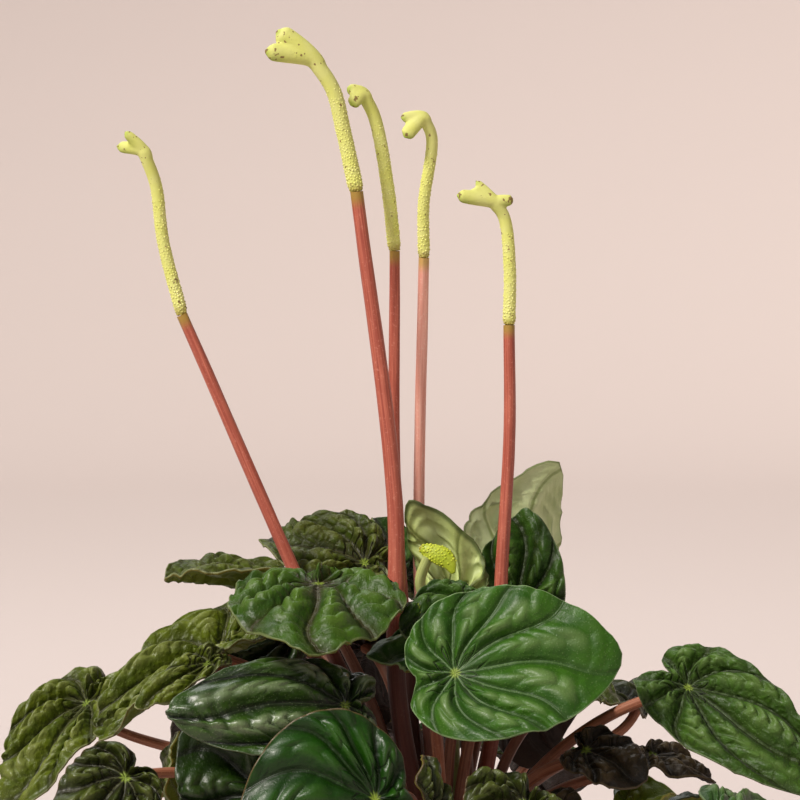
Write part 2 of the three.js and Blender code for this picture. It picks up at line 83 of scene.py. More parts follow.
# One row a leaf: where the petiole meets the blade, the blade's tip, its width, the turn of its face, the
# droop of its midrib, the fold of its halves, its growth form and its finish.
LEAVES = [
    ((4, -50, 174), (52, -48, 178), 48, 60, 20, 12, "round", "fresh"),
    ((-36, -28, 197), (-37, -65, 181), 52, 0, 30, -9, "puckered", "olive"),
    ((12, -25, 189), (-12, -36, 185), 28, -35, 25, -5, "heart", "deep"),
    ((2, -17, 175), (-22, -28, 175), 20, -35, 15, 8, "long", "fresh"),
    ((-28, -42, 163.5), (-79, -54, 163), 33, -60, 18, -14, "ribbed", "silvered"),
    ((-23, 18, 198), (-55, 24, 204), 34, -32, 24, 6, "heart", "grey"),
    ((-46, 36, 184.5), (-84, 17, 192.5), 38, 0, 20, 28, "heart", "grey"),
    ((5, 0, 189), (-9, 4, 219), 22, 85, 20, 24, "long", "grey"),
    ((20, 30, 186), (37.5, 40, 227.5), 40, -85, 25, 12, "heart", "grey"),
    ((24, 8, 184), (27, 15, 215), 29, 10, 14, 16, "heart", "deep"),
    ((-11, 34, 192), (-18, 46, 211), 28, 20, 20, 10, "young", "deep"),
    ((0, 58, 184), (4, 94, 174), 42, 0, 25, 8, "heart", "grey"),
    ((-66, -17, 175), (-101, -31, 152), 27, -20, 18, 38, "broad", "sunlit"),
    ((-106, -6, 158.5), (-129, -24, 123), 27, -20, 26, 24, "heart", "sunlit"),
    ((-91, -52, 144), (-110, -60, 125.5), 29, -55, 20, 0, "heart", "bronze"),
    ((-77, -24, 130), (-78.5, -30, 154), 20, 112, 10, 15, "young", "grey"),
    ((-51, -46, 139), (-75, -43, 157), 42, -75, 15, 8, "heart", "dark"),
    ((73, -25, 166), (111, -45, 137), 33, 45, 25, 8, "heart", "ashen"),
    ((98, -6, 115), (130, -9, 96), 40, 0, 25, 8, "heart", "deep"),
    ((62, 32, 152.5), (44, 46, 155.5), 30, 0, 25, 12, "young", "bronze"),
    ((35, -4, 162), (54, -8, 160), 28, 15, 25, 10, "young", "grey"),
    ((43, -24, 147), (60, -34, 139), 22, 32, 20, 5, "young", "maroon"),
    ((64, -2, 142), (82, -8, 134), 17, 12, 25, 5, "young", "maroon"),
    ((53, -22, 126), (69, -26, 136), 22, 20, 20, 15, "young", "lime"),
    ((-19, -76, 142), (-58, -84, 130), 58, -76, 18, 0, "round", "glossy"),
    ((29, -31, 129), (40, -44, 123), 24, 40, 20, 5, "young", "maroon"),
    ((24, -64, 138), (11, -76, 128), 34, -30, 25, 8, "puckered", "bronze"),
    ((-3, -52, 134), (-6, -48, 150), 15, 20, 20, 25, "young", "bronze"),
    ((6, -90, 113), (2, -120, 96), 42, 0, 25, 5, "heart", "fresh"),
    ((46, -82, 118), (60, -109, 101), 42, 0, 25, 5, "heart", "deep"),
    ((83, -48, 119), (111, -65, 103), 42, 0, 25, 5, "heart", "dark"),
    ((94, 36, 119), (124, 48, 101), 42, 0, 25, 8, "heart", "fresh"),
    ((-98, 12, 126), (-130, 20, 108), 44, 0, 25, 8, "heart", "bronze"),
    ((24, 56, 166), (30, 84, 124), 42, 0, 25, 5, "round", "deep"),
    ((-23, 52, 168), (-32, 79, 126), 46, 0, 25, 5, "puckered", "olive"),
    ((72, 72, 113), (96, 96, 97), 42, 0, 25, 8, "heart", "dark"),
    ((-78, 60, 124), (-104, 82, 106), 44, 0, 25, 8, "heart", "deep"),
    ((-8, 96, 134), (-10, 132, 114), 44, 0, 25, 5, "round", "glossy"),
    ((31, 104, 124), (43, 134, 104), 42, 0, 25, 8, "heart", "olive"),
    ((-50, 98, 130), (-66, 128, 108), 42, 0, 25, 8, "heart", "grey"),
    ((-46, 8, 177), (-76, 1, 170), 28, -40, 20, 4, "long", "dark"),
    ((-58, 34, 160), (-84, 46, 138), 36, 0, 20, 5, "young", "dark"),
    ((-3, 78, 158), (-1, 98, 142), 34, 0, 20, 5, "young", "dark"),
    ((-68, -38.5, 175), (-88, -48, 163), 12, -34, 12, 24, "young", "sunlit"),
]
HIDDEN_BEHIND = (*range(28, 40), 41, 42)  # the skirt and the back of the canopy, seen from farther off

# Flower spikes: the red stalk's course, the green spike's course, its crest's lobes, each with where it
# ends and the radius of that end, the radii of stalk foot, stalk top and spike, and the web: which two
# lobes it joins and how far out it reaches between them.
SPIKES = [
    {
        "path": [(-6.5, 0, 103), (-13, -1, 130), (-42.5, 0, 195), (-77.3, 1, 275)],
        "head": [(-77.3, 1, 275), (-82.9, 1, 297), (-85, 0, 314), (-88.5, -2, 324)],
        "crest": [(-94, -4, 330, 1.1), (-96.7, -1, 325.4, 1.4)],
        "radii": (2.3, 1.7, 2.0),
        "web": (0, 1, 0.7),
    },
    {
        "path": [(-2, -6.5, 103), (-12.5, -7, 160), (-13.6, -7, 220), (-24.9, -6, 312)],
        "head": [(-24.9, -6, 312), (-28.8, -6, 330), (-31.8, -7, 342), (-37.5, -8, 351)],
        "crest": [(-48.5, -10, 359.5, 2.6), (-52, -12, 353.5, 2.2)],
        "radii": (3.2, 1.9, 2.4),
        "web": (0, 1, 0.72),
    },
    {
        "path": [(-3.2, 4, 103), (-9, 12.5, 160), (-13.3, 9, 222), (-13.6, 7, 294)],
        "head": [(-13.6, 7, 294), (-15.8, 6, 314), (-19.6, 5, 334), (-23, 3, 341)],
        "crest": [(-28, 1, 342.8, 1.3), (-26.8, -1, 337.5, 1.6)],
        "radii": (2.0, 1.6, 2.1),
        "web": (0, 1, 0.9),
    },
    {
        "path": [(1.5, 6, 103), (-3.5, 11, 150), (-6.3, 14.8, 200), (-6.2, 14.5, 222), (-4.8, 6, 292)],
        "head": [(-4.8, 6, 292), (-4.9, 4, 308), (-2.5, 1, 328), (-5, -1, 334)],
        "crest": [(-12, -3, 334, 1.2), (-10.8, -4, 328, 1.8)],
        "radii": (1.9, 1.6, 1.9),
        "web": (0, 1, 0.8),
    },
    {
        "path": [(6.5, -4.5, 103), (16, -4, 150), (18.6, -2, 200), (20.8, -1, 240), (20.7, 0, 272)],
        "head": [(20.7, 0, 272), (20.8, 0, 290), (19.2, 0, 304), (16.5, -1, 308.5)],
        "crest": [(4.8, -4, 311, 1.7), (22, -1, 309.6, 1.3), (10.4, -2, 315.4, 0.9)],
        "radii": (2.3, 1.7, 2.0),
        "web": (0, 2, 0.85),
    },
]
YOUNG_SPIKE = {
    "path": [(3.8, 1.8, 103), (4, 3, 150), (-1, -1, 182), (-6, -6, 195), (-3.5, -9.5, 203.5)],
    "comb": [(-6, -9, 206), (-2, -10, 204.5), (2, -11, 202.5), (4, -12, 198.5)],
    "comb_radii": (3.0, 1.4),
    "radii": (1.8, 1.6),
}


# ---------------------------------------------------------------- helpers


def linear(code):
    """An sRGB hex colour as the linear colour that Blender works in."""
    channels = [int(code[i : i + 2], 16) / 255 for i in (1, 3, 5)]
    return tuple(c / 12.92 if c <= 0.04045 else ((c + 0.055) / 1.055) ** 2.4 for c in channels) + (1.0,)


def add(tree, kind, inputs=(), **settings):
    """Adds a node. settings are its properties; inputs gives each socket a value or another node's output."""
    made = tree.nodes.new(kind)
    for key, value in settings.items():
        setattr(made, key, value)
    for key, value in dict(inputs).items():
        if isinstance(value, bpy.types.NodeSocket):
            tree.links.new(value, made.inputs[key])
        else:
            made.inputs[key].default_value = value
    return made


def smoothstep(low, high, x):
    share = np.clip((x - low) / (high - low), 0, 1)
    return share * share * (3 - 2 * share)


def unit(vector):
    return vector / np.linalg.norm(vector)


def finish_piece(piece, slot, *nodes):
    """Puts a finished piece on the plant's body, in place of the solids that it stands for."""
    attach(piece, "root")
    if nodes:
        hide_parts(*nodes)
    return piece


def new_piece(name, points, faces, materials, finishes=None, values=(), corners=None):
    """A smooth mesh object from points in millimetres. values are per-point numbers that its material reads;
    corners are the flat coordinates of each face corner."""
    mesh = bpy.data.meshes.new(name)
    mesh.from_pydata((np.asarray(points) * MM).tolist(), [], faces)
    for material in materials:
        mesh.materials.append(material)
    if finishes is not None:
        mesh.polygons.foreach_set("material_index", np.asarray(finishes, np.int32))
    for key, numbers in dict(values).items():
        attribute = mesh.attributes.new(key, "FLOAT", "POINT")
        attribute.data.foreach_set("value", np.asarray(numbers, np.float32))
    if corners is not None:
        layer = mesh.uv_layers.new(name="veins")
        layer.uv.foreach_set("vector", np.asarray(corners, np.float32).ravel())
    mesh.shade_smooth()
    mesh.validate()
    piece = bpy.data.objects.new(name, mesh)
    bpy.context.scene.collection.objects.link(piece)
    return piece


def applied(piece, name):
    """The piece as its modifiers show it, as a plain mesh object; the old one is removed."""
    bpy.context.view_layer.update()
    graph = bpy.context.evaluated_depsgraph_get()
    mesh = bpy.data.meshes.new_from_object(piece.evaluated_get(graph), depsgraph=graph)
    mesh.name = name
    bpy.data.objects.remove(piece)
    made = bpy.data.objects.new(name, mesh)
    bpy.context.scene.collection.objects.link(made)
    return made


def with_nodes(piece, tree, name, **inputs):
    """Runs a Geometry Nodes tree on a piece. inputs are named as the tree's own sizes are."""
    modifier = piece.modifiers.new("grown", "NODES")
    modifier.node_group = tree
    sockets = {s.name: s.identifier for s in tree.interface.items_tree if s.in_out == "INPUT"}
    for key, value in inputs.items():
        modifier[sockets[key.replace("_", " ")]] = value
    return applied(piece, name)


def new_tree(name, kind, inputs, outputs):
    """An empty tree of nodes with named sockets, and what its inputs give."""
    tree = bpy.data.node_groups.new(name, kind)
    for in_out, sockets in (("INPUT", inputs), ("OUTPUT", outputs)):
        for socket, holds in sockets.items():
            tree.interface.new_socket(socket, in_out=in_out, socket_type="NodeSocket" + holds)
    return tree, add(tree, "NodeGroupInput").outputs


def end_tree(tree, geometry, material):
    """Ends a Geometry Nodes tree: plain smooth geometry of one material."""
    geometry = add(tree, "GeometryNodeRealizeInstances", {"Geometry": geometry}).outputs[0]
    geometry = add(tree, "GeometryNodeSetShadeSmooth", {"Geometry": geometry}).outputs[0]
    geometry = add(tree, "GeometryNodeSetMaterial", {"Geometry": geometry, "Material": material}).outputs[0]
    add(tree, "NodeGroupOutput", {0: geometry})


def sources(tree, noises, marks=()):
    """What a pattern starts from, by name: its place on the object, noises, each with a size in millimetres
    and a detail, and marks, the numbers that the mesh carries at its points."""
    known = {"place": add(tree, "ShaderNodeTexCoord").outputs["Object"]}
    for name, size, detail in noises:
        noise = {"Vector": known["place"], "Scale": 1 / (size * MM), "Detail": detail}
        known[name] = add(tree, "ShaderNodeTexNoise", noise).outputs["Fac"]
    for name in marks:
        known[name] = add(tree, "ShaderNodeAttribute", attribute_name=name).outputs["Fac"]
    return known


def work_out(tree, known, steps):
    """Works out numbers in turn. A step is its result's name, its operation and its values, where a name
    stands for a number in known. LINEAR and SMOOTHSTEP bring the span between two values to 0 and 1, or to
    two more."""
    for name, operation, *values in steps:
        inputs = {i: known[value] if isinstance(value, str) else value for i, value in enumerate(values)}
        if operation in ("LINEAR", "SMOOTHSTEP"):
            made = add(tree, "ShaderNodeMapRange", inputs, interpolation_type=operation)
        else:
            made = add(tree, "ShaderNodeMath", inputs, operation=operation)
        known[name] = made.outputs[0]
    return known


def painted(tree, known, colour, coats):
    """Lays coats over a colour. A coat is its hex colour and the step that works out how far it covers."""
    for over, *step in coats:
        work_out(tree, known, [("covered", *step)])
        layers = {0: known["covered"], 6: colour, 7: linear(over)}
        colour = add(tree, "ShaderNodeMix", layers, data_type="RGBA").outputs[2]
    return colour


def new_material(name):
    """A material with no nodes yet, and its tree."""
    material = bpy.data.materials.new(name)
    material.use_nodes = True
    material.node_tree.nodes.clear()
    return material, material.node_tree


def end_material(tree, colour, rough, height, strength, depth, gloss):
    """Ends a material: its colour, its roughness, a height of depth millimetres raised from it, and its
    gloss."""
    bump = add(tree, "ShaderNodeBump", {"Height": height, "Strength": strength, "Distance": depth * MM})
    skin = {"Base Color": colour, "Roughness": rough, "Normal": bump.outputs[0], **gloss}
    surface = add(tree, "ShaderNodeBsdfPrincipled", skin).outputs[0]
    add(tree, "ShaderNodeOutputMaterial", {"Surface": surface})


CURVE_STEPS = 40  # points worked out between two given ones
# The knots between which each round blends, on the way from four points to one on the curve.
BLENDS = (((0, 1), (1, 2), (2, 3)), ((0, 2), (1, 3)), ((1, 2),))


def catmull_rom(points, count):
    """Points along the centripetal curve through a few given ones, evenly spaced."""
    p = np.array(points, float)
    p = np.vstack([2 * p[0] - p[1], p, 2 * p[-1] - p[-2]])
    found = []
    for i in range(1, len(p) - 2):
        knots = [0.0]
        for a, b in zip(p[i - 1 : i + 2], p[i : i + 3]):
            knots.append(knots[-1] + np.linalg.norm(b - a) ** 0.5)
        for t in np.linspace(knots[1], knots[2], CURVE_STEPS, endpoint=i == len(p) - 3):
            row = p[i - 1 : i + 3]
            for spans in BLENDS:
                row = [
                    ((knots[to] - t) * row[k] + (t - knots[since]) * row[k + 1]) / (knots[to] - knots[since])
                    for k, (since, to) in enumerate(spans)
                ]
            found.append(row[0])
    return even(np.array(found), count)


def even(points, count):
    """The same line with count points at equal distances."""
    steps = np.r_[0, np.cumsum(np.linalg.norm(np.diff(points, axis=0), axis=1))]
    at = np.linspace(0, steps[-1], count)
    return np.stack([np.interp(at, steps, points[:, k]) for k in range(3)], 1)


def tube(line, across, through, sides, wide=(0.31, 0.17, 0.93)):
    """Points and faces of a closed rod along a line; across lies along the direction wide."""
    tangents = np.gradient(line, axis=0)
    tangents /= np.linalg.norm(tangents, axis=1)[:, None]
    wide = np.array(wide, float)
    right = wide - tangents * (tangents @ wide)[:, None]
    right /= np.linalg.norm(right, axis=1)[:, None]
    other = np.cross(tangents, right)
    turn = np.arange(sides) * TAU / sides
    ring = (
        line[:, None]
        + right[:, None] * (np.cos(turn)[None, :, None] * across[:, None, None])
        + other[:, None] * (np.sin(turn)[None, :, None] * through[:, None, None])
    )
    rows = len(line)
    faces = [
        [i * sides + j, i * sides + (j + 1) % sides, (i + 1) * sides + (j + 1) % sides, (i + 1) * sides + j]
        for i in range(rows - 1)
        for j in range(sides)
    ]
    faces.append(list(range(sides))[::-1])
    faces.append(list(range((rows - 1) * sides, rows * sides)))
    return ring.reshape(-1, 3), faces


def lathe(profile, sides):
    """Points and faces of a closed turned shape from (radius, height) pairs that start and end on the
    axis."""
    turn = np.arange(sides) * TAU / sides
    rings = [(r * np.cos(turn), r * np.sin(turn), np.full(sides, z)) for r, z in profile[1:-1]]
    points = [(0, 0, profile[0][1])] + [p for ring in rings for p in zip(*ring)] + [(0, 0, profile[-1][1])]
    last = len(points) - 1
    faces = [[0, 1 + (j + 1) % sides, 1 + j] for j in range(sides)]
    for i in range(len(rings) - 1):
        a = 1 + i * sides
        faces += [
            [a + j, a + (j + 1) % sides, a + sides + (j + 1) % sides, a + sides + j] for j in range(sides)
        ]
    a = 1 + (len(rings) - 1) * sides
    faces += [[a + j, a + (j + 1) % sides, last] for j in range(sides)]
    return np.array(points, float), faces


# ---------------------------------------------------------------- leaf finishes


def vein_pattern():
    """Masks that follow a blade's own veins. The flat coordinate U counts main veins round the blade, V
    runs from petiole to margin; span, reach and inset are millimetres on the blade."""
    sizes = ("Pitch", "Vein width", "Vein reach", "Margin width")
    veins = ("Vein", "Side vein", "Crease", "Star", "Margin")
    results = (*veins, "Wrinkle", "Relief", "Grain", "Speck", "Mottle", "Height")
    floats = [dict.fromkeys(names, "Float") for names in (sizes, results)]
    tree, given = new_tree("blade pattern", "ShaderNodeTree", *floats)
    # Cells are about 0.5 mm across in life, and drawn at 0.8 mm so that they show. Wrinkles are 3.2 mm apart.
    known = sources(tree, (("Grain", 0.8, 2.0), ("Mottle", 11, 3.0)), ("span", "inset", "reach", "relief"))
    for name, size, feature in (("cells", 0.8, "F1"), ("wrinkles", 3.2, "DISTANCE_TO_EDGE")):
        cells = {"Vector": known["place"], "Scale": 1 / (size * MM)}
        known[name] = add(tree, "ShaderNodeTexVoronoi", cells, feature=feature).outputs["Distance"]
    flat = add(tree, "ShaderNodeUVMap", uv_map="veins").outputs[0]
    flat = add(tree, "ShaderNodeSeparateXYZ", {0: flat}).outputs
    known |= {"turn": flat[0], "out": flat[1], "Relief": known["relief"]}
    known |= {size: given[size] for size in sizes}
    work_out(tree, known, (
        ("to vein", "PINGPONG", "turn", 0.5),
        ("off vein", "MULTIPLY", "to vein", "span"),
        ("share", "DIVIDE", "off vein", "Vein width"),
        ("line", "SMOOTHSTEP", "share", 0.45, 0.06),
        ("lasting", "SMOOTHSTEP", "out", "Vein reach", 0.2),
        ("Vein", "MULTIPLY", "line", "lasting"),
        # Side veins leave a main vein forwards: they lie farther out in the middle of the field.
        ("ahead", "MULTIPLY", "to vein", 2 * SIDE_VEIN["lean"]),
        ("course", "DIVIDE", "reach", "Pitch"),
        ("course", "SUBTRACT", "course", "ahead"),
        ("field", "FLOOR", "turn"),
        ("course", "MULTIPLY_ADD", "field", SIDE_VEIN["set_on"], "course"),
    ))
    for size, round_blade, outward in SIDE_VEIN["waves"]:
        work_out(tree, known, (
            ("wave", "MULTIPLY", "out", outward),
            ("wave", "MULTIPLY_ADD", "turn", round_blade, "wave"),
            ("wave", "SINE", "wave"),
            ("course", "MULTIPLY_ADD", "wave", size, "course"),
        ))
    work_out(tree, known, (
        ("to side", "PINGPONG", "course", 0.5),
        ("off side", "MULTIPLY", "to side", "Pitch"),
        # Side veins are drawn round the petiole; farther out the cushions' own shape shows them.
        ("near", "SMOOTHSTEP", "reach", 12.0, 5.0),
        ("share", "DIVIDE", "off side", "Vein width"),
        ("line", "SMOOTHSTEP", "share", 0.45, 0.08),
        ("Side vein", "MULTIPLY", "line", "near"),
        ("from hub", "MULTIPLY_ADD", "off vein", 1.2, "reach"),
        ("Star", "SMOOTHSTEP", "from hub", 2.4, 0.7),
        ("from edge", "DIVIDE", "inset", "Margin width"),
        ("Margin", "SMOOTHSTEP", "from edge", 0.5, 0.12),
        ("Speck", "SMOOTHSTEP", "cells", 0.45, 0.05),
        ("Wrinkle", "SMOOTHSTEP", "wrinkles", 0.32, 0.0),
        ("main", "SMOOTHSTEP", "off vein", 1.4, 0.1),
        ("side", "SMOOTHSTEP", "off side", 1.1, 0.1),
        ("side", "MULTIPLY", "side", "near"),
        ("Crease", "MAXIMUM", "main", "side"),
        # Millimetres of height: dips along the veins, with a fine cord in the main ones, then cells.
        ("dip", "SMOOTHSTEP", "off vein", 1.9, 0.1),
        ("Height", "MULTIPLY", "dip", -0.5),
        ("cord", "SMOOTHSTEP", "off vein", 0.35, 0.0),
        ("Height", "MULTIPLY_ADD", "cord", 0.1, "Height"),
        ("Height", "MULTIPLY_ADD", "Side vein", -0.12, "Height"),
        ("dip", "SMOOTHSTEP", "off side", 1.2, 0.0),
        ("dip", "MULTIPLY", "dip", "near"),
        ("Height", "MULTIPLY_ADD", "dip", -0.55, "Height"),
        ("Height", "MULTIPLY_ADD", "Grain", 0.1, "Height"),
        ("Height", "MULTIPLY_ADD", "Speck", 0.06, "Height"),
    ))
    add(tree, "NodeGroupOutput", {name: known[name] for name in results})
    return tree


PATTERN = vein_pattern()
# What a leaf skin has where its finish says nothing else: how strongly veins and wrinkles show, how wide
# and far the veins and the margin run, the star where the petiole meets the blade, sheen, and the bump's
# height in mm.
USUAL = dict(
    main_veins=0.8, side_veins=0.35, wrinkles=0.05, vein_width=1.0, vein_reach=1.1, margin_width=1.0,
    star="#90a83a", sheen=0.03, puckering=1.0,
)


def leaf_finish(name, pitch, colours, roughness, gloss, **changes):
    """Living leaf skin over green tissue: a waxy satin face, darker and duller in the furrows, partly their
    own brownish tone and partly painted shade, with a painted sheen on the ridges.
    """
    field, shade, furrow_tone_and_shade, ridge_painted_sheen, vein, margin = colours
    look = {**USUAL, **changes}
    material, tree = new_material(name)
    sizes = {"Pitch": pitch}
    for size in ("Vein width", "Vein reach", "Margin width"):
        sizes[size] = look[size.lower().replace(" ", "_")]
    known = dict(add(tree, "ShaderNodeGroup", sizes, node_tree=PATTERN).outputs.items())
    colour = painted(tree, known, linear(field), (
        (shade, "SMOOTHSTEP", "Mottle", 0.38, 0.66, 0.0, 0.9),
        # Furrows, creases and wrinkles take the darker furrow colour: partly the furrows' own brownish tone,
        # partly painted shade.
        (furrow_tone_and_shade, "SMOOTHSTEP", "Relief", 0.0, 0.5, 0.7, 0.0),
        (furrow_tone_and_shade, "SMOOTHSTEP", "Crease", 0.1, 1.0, 0.0, 0.8),
        (furrow_tone_and_shade, "SMOOTHSTEP", "Wrinkle", 0.2, 1.0, 0.0, 2.2 * look["wrinkles"]),
        # Painted sheen: the ridges and the cell specks on them take the paler ridge colour.
        (ridge_painted_sheen, "SMOOTHSTEP", "Relief", 0.55, 0.95, 0.0, 0.5),
        (ridge_painted_sheen, "SMOOTHSTEP", "Speck", 0.3, 1.0, 0.0, 0.3),
        (vein, "MULTIPLY", "Side vein", look["side_veins"]),
        (vein, "MULTIPLY", "Vein", look["main_veins"]),
        (margin, "MULTIPLY", "Margin", 0.8),
        (look["star"], "MULTIPLY", "Star", 1.0),
    ))
    work_out(tree, known, (
        ("rough", "SMOOTHSTEP", "Grain", 0.3, 0.7, roughness - 0.06, roughness + 0.1),
        ("height", "MULTIPLY_ADD", "Wrinkle", -look["wrinkles"], "Height"),
    ))
    end_material(tree, colour, known["rough"], known["height"], 1.0, look["puckering"], {
        "IOR": 1.36, "Coat Weight": gloss, "Coat Roughness": 0.34,
        "Sheen Weight": look["sheen"], "Sheen Roughness": 0.4, "Sheen Tint": linear("#dfe6cf"),
    })
    return material


# Names are the leaf's age and place: fresh blades are mid green, old ones dark, shaded ones maroon. The
# colours are the field, its shade, the furrows, the ridges, the veins and the margin; the furrow colour is
# partly painted shade and the ridge colour a painted sheen.
FINISHES = {
    "fresh": dict(
        colours=("#35600e", "#244c0a", "#284614", "#708a50", "#64844c", "#829c6a"),
        roughness=0.46, gloss=0.12, sheen=0.05, main_veins=0.5, side_veins=0.25,
    ),
    "olive": dict(
        colours=("#365609", "#244205", "#332f16", "#5a7a26", "#565030", "#6a7646"),
        roughness=0.44, gloss=0.1, sheen=0.0, main_veins=0.25, side_veins=0.15, puckering=1.3,
        wrinkles=0.06,
    ),
    "deep": dict(
        colours=("#2e5008", "#1d3a06", "#1c260a", "#54742e", "#48582e", "#586840"),
        roughness=0.45, gloss=0.08, main_veins=0.25, side_veins=0.15, puckering=1.2, wrinkles=0.1,
    ),
    "dark": dict(
        colours=("#1f3806", "#122602", "#070d02", "#3c4e24", "#2c3c1a", "#3c482a"),
        roughness=0.4, gloss=0.3, sheen=0.0, main_veins=0.3, side_veins=0.15, puckering=1.2, wrinkles=0.06,
    ),
    # A lighter copy of dark: its lighter field is painted light and its pale ridge colour a painted silvery
    # sheen.
    "silvered": dict(
        colours=("#345410", "#1e3806", "#060c02", "#90a078", "#3a4c24", "#506040"),
        roughness=0.38, gloss=0.7, sheen=0.05, main_veins=0.3, side_veins=0.15, puckering=1.3,
        wrinkles=0.08,
    ),
    "grey": dict(
        colours=("#485608", "#354406", "#2a280d", "#6a7234", "#5e6230", "#7e8258"),
        roughness=0.48, gloss=0.06, main_veins=0.35, side_veins=0.25, puckering=1.4, wrinkles=0.22,
    ),
    "sunlit": dict(
        colours=("#5c6a0c", "#425208", "#2e300d", "#848c4a", "#646a34", "#8e9264"),
        roughness=0.44, gloss=0.16, main_veins=0.35, side_veins=0.25, puckering=1.3, wrinkles=0.14,
    ),
    "ashen": dict(
        colours=("#3c5c18", "#2c4a0e", "#24300c", "#64803e", "#566e40", "#6e7e56"),
        roughness=0.48, gloss=0.05, main_veins=0.35, side_veins=0.25, puckering=1.2, wrinkles=0.16,
    ),
    "bronze": dict(
        colours=("#3a460a", "#2a3606", "#1c1807", "#5e682a", "#5e6434", "#5a462c"),
        roughness=0.42, gloss=0.28, main_veins=0.4, side_veins=0.25, puckering=1.2, wrinkles=0.12,
    ),
    "maroon": dict(
        colours=("#3a2c16", "#281e0c", "#120c05", "#5c4c2c", "#544a34", "#5a4e36"),
        roughness=0.46, gloss=0.14, sheen=0.02, main_veins=0.5, puckering=1.2, wrinkles=0.16,
    ),
    "lime": dict(
        colours=("#6f8210", "#5b700c", "#566018", "#8c9830", "#a0a850", "#a8a050"),
        roughness=0.48, gloss=0.04,
    ),
    "glossy": dict(
        colours=("#184202", "#0f3001", "#0f2204", "#305812", "#284a16", "#604c30"),
        roughness=0.4, gloss=0.2, sheen=0.0, main_veins=0.35, side_veins=0.1, puckering=0.8, wrinkles=0.03,
    ),
}
# Undersides have no waxy furrow: pale, smooth, with olive veins standing out.
UNDERSIDES = {
    "pale": dict(
        colours=("#b2bf7c", "#9dac62", "#96a258", "#c0ca90", "#5c682c", "#34461a"),
        roughness=0.5, gloss=0.03, main_veins=0.9, side_veins=0.75, puckering=0.5, vein_width=2.2,
        vein_reach=2.2, margin_width=5.0, star="#a98452",
    ),
    # A lighter copy of pale: painted light standing in for light shining through the leaf from behind.
    "palest": dict(
        colours=("#e4efba", "#ccdc9c", "#c4d494", "#eef6cc", "#83954f", "#5c6a2c"),
        roughness=0.5, gloss=0.03, main_veins=0.9, side_veins=0.75, puckering=0.5, vein_width=2.2,
        vein_reach=2.2, margin_width=1.6, star="#a98452",
    ),
    "green": dict(
        colours=("#6d7a1c", "#5e7018", "#586618", "#7c8636", "#565e20", "#6f6028"),
        roughness=0.5, gloss=0.04, sheen=0.05, side_veins=0.4, star="#9a6038",
    ),
    # Wine red: the own underside of maroon leaves, and painted shade on the undersides that close the dark
    # middle.
    "wine": dict(
        colours=("#2a1a12", "#20150f", "#1c120c", "#382620", "#462e24", "#382a1c"),
        roughness=0.55, gloss=0.02, sheen=0.02, side_veins=0.3, star="#523024",
    ),
}
UNDERSIDE_OF = {"maroon": "wine"}
TURNED_AWAY = {7: "pale", 8: "palest"}  # leaves that turn their backs to the front
# Leaves that close the dark middle of the plant from behind; their dark wine undersides are painted shade.
SHADED_UNDERSIDES = (33, 34, 37, 38, 39, 40, 41, 42)

made_finishes = {}


def finish_for(kind, name, pitch):
    """The finish of a face or an underside, made once for each distance between side veins."""
    key = (kind, name, pitch)
    if key not in made_finishes:
        table = FINISHES if kind == "face" else UNDERSIDES
        made_finishes[key] = leaf_finish(f"leaf {name} {kind} {pitch:g} mm veins", pitch, **table[name])
    return made_finishes[key]


# ---------------------------------------------------------------- leaf blades


def outline_share(form, angle):
    """The outline's distance from the petiole at an angle from the midrib, as a share of the tip's."""
    turn = np.hypot(angle, 0.06) - 0.06
    body = form["lobe"] + (1 - form["lobe"]) * np.exp(-turn / form["taper"])
    notch = form["notch"] * np.exp(-(((math.pi - np.abs(angle)) / 0.3) ** 2))
    return body * (1 - notch)


def blade_axes(at, tip, roll, droop):
    """Forward along the midrib, to its left, and up from its face, all at the petiole; and the midrib's
    length."""
    chord = np.subtract(tip, at).astype(float)
    ahead = unit(chord)
    left = unit(np.cross((0, 0, 1), ahead))
    up = np.cross(ahead, left)
    turn, half = math.radians(roll), math.radians(droop) / 2
    face = up * math.cos(turn) - left * math.sin(turn)
    side = left * math.cos(turn) + up * math.sin(turn)
    forward = ahead * math.cos(half) + face * math.sin(half)
    face = face * math.cos(half) - ahead * math.sin(half)
    return forward, side, face, np.linalg.norm(chord) * half / math.sin(half)


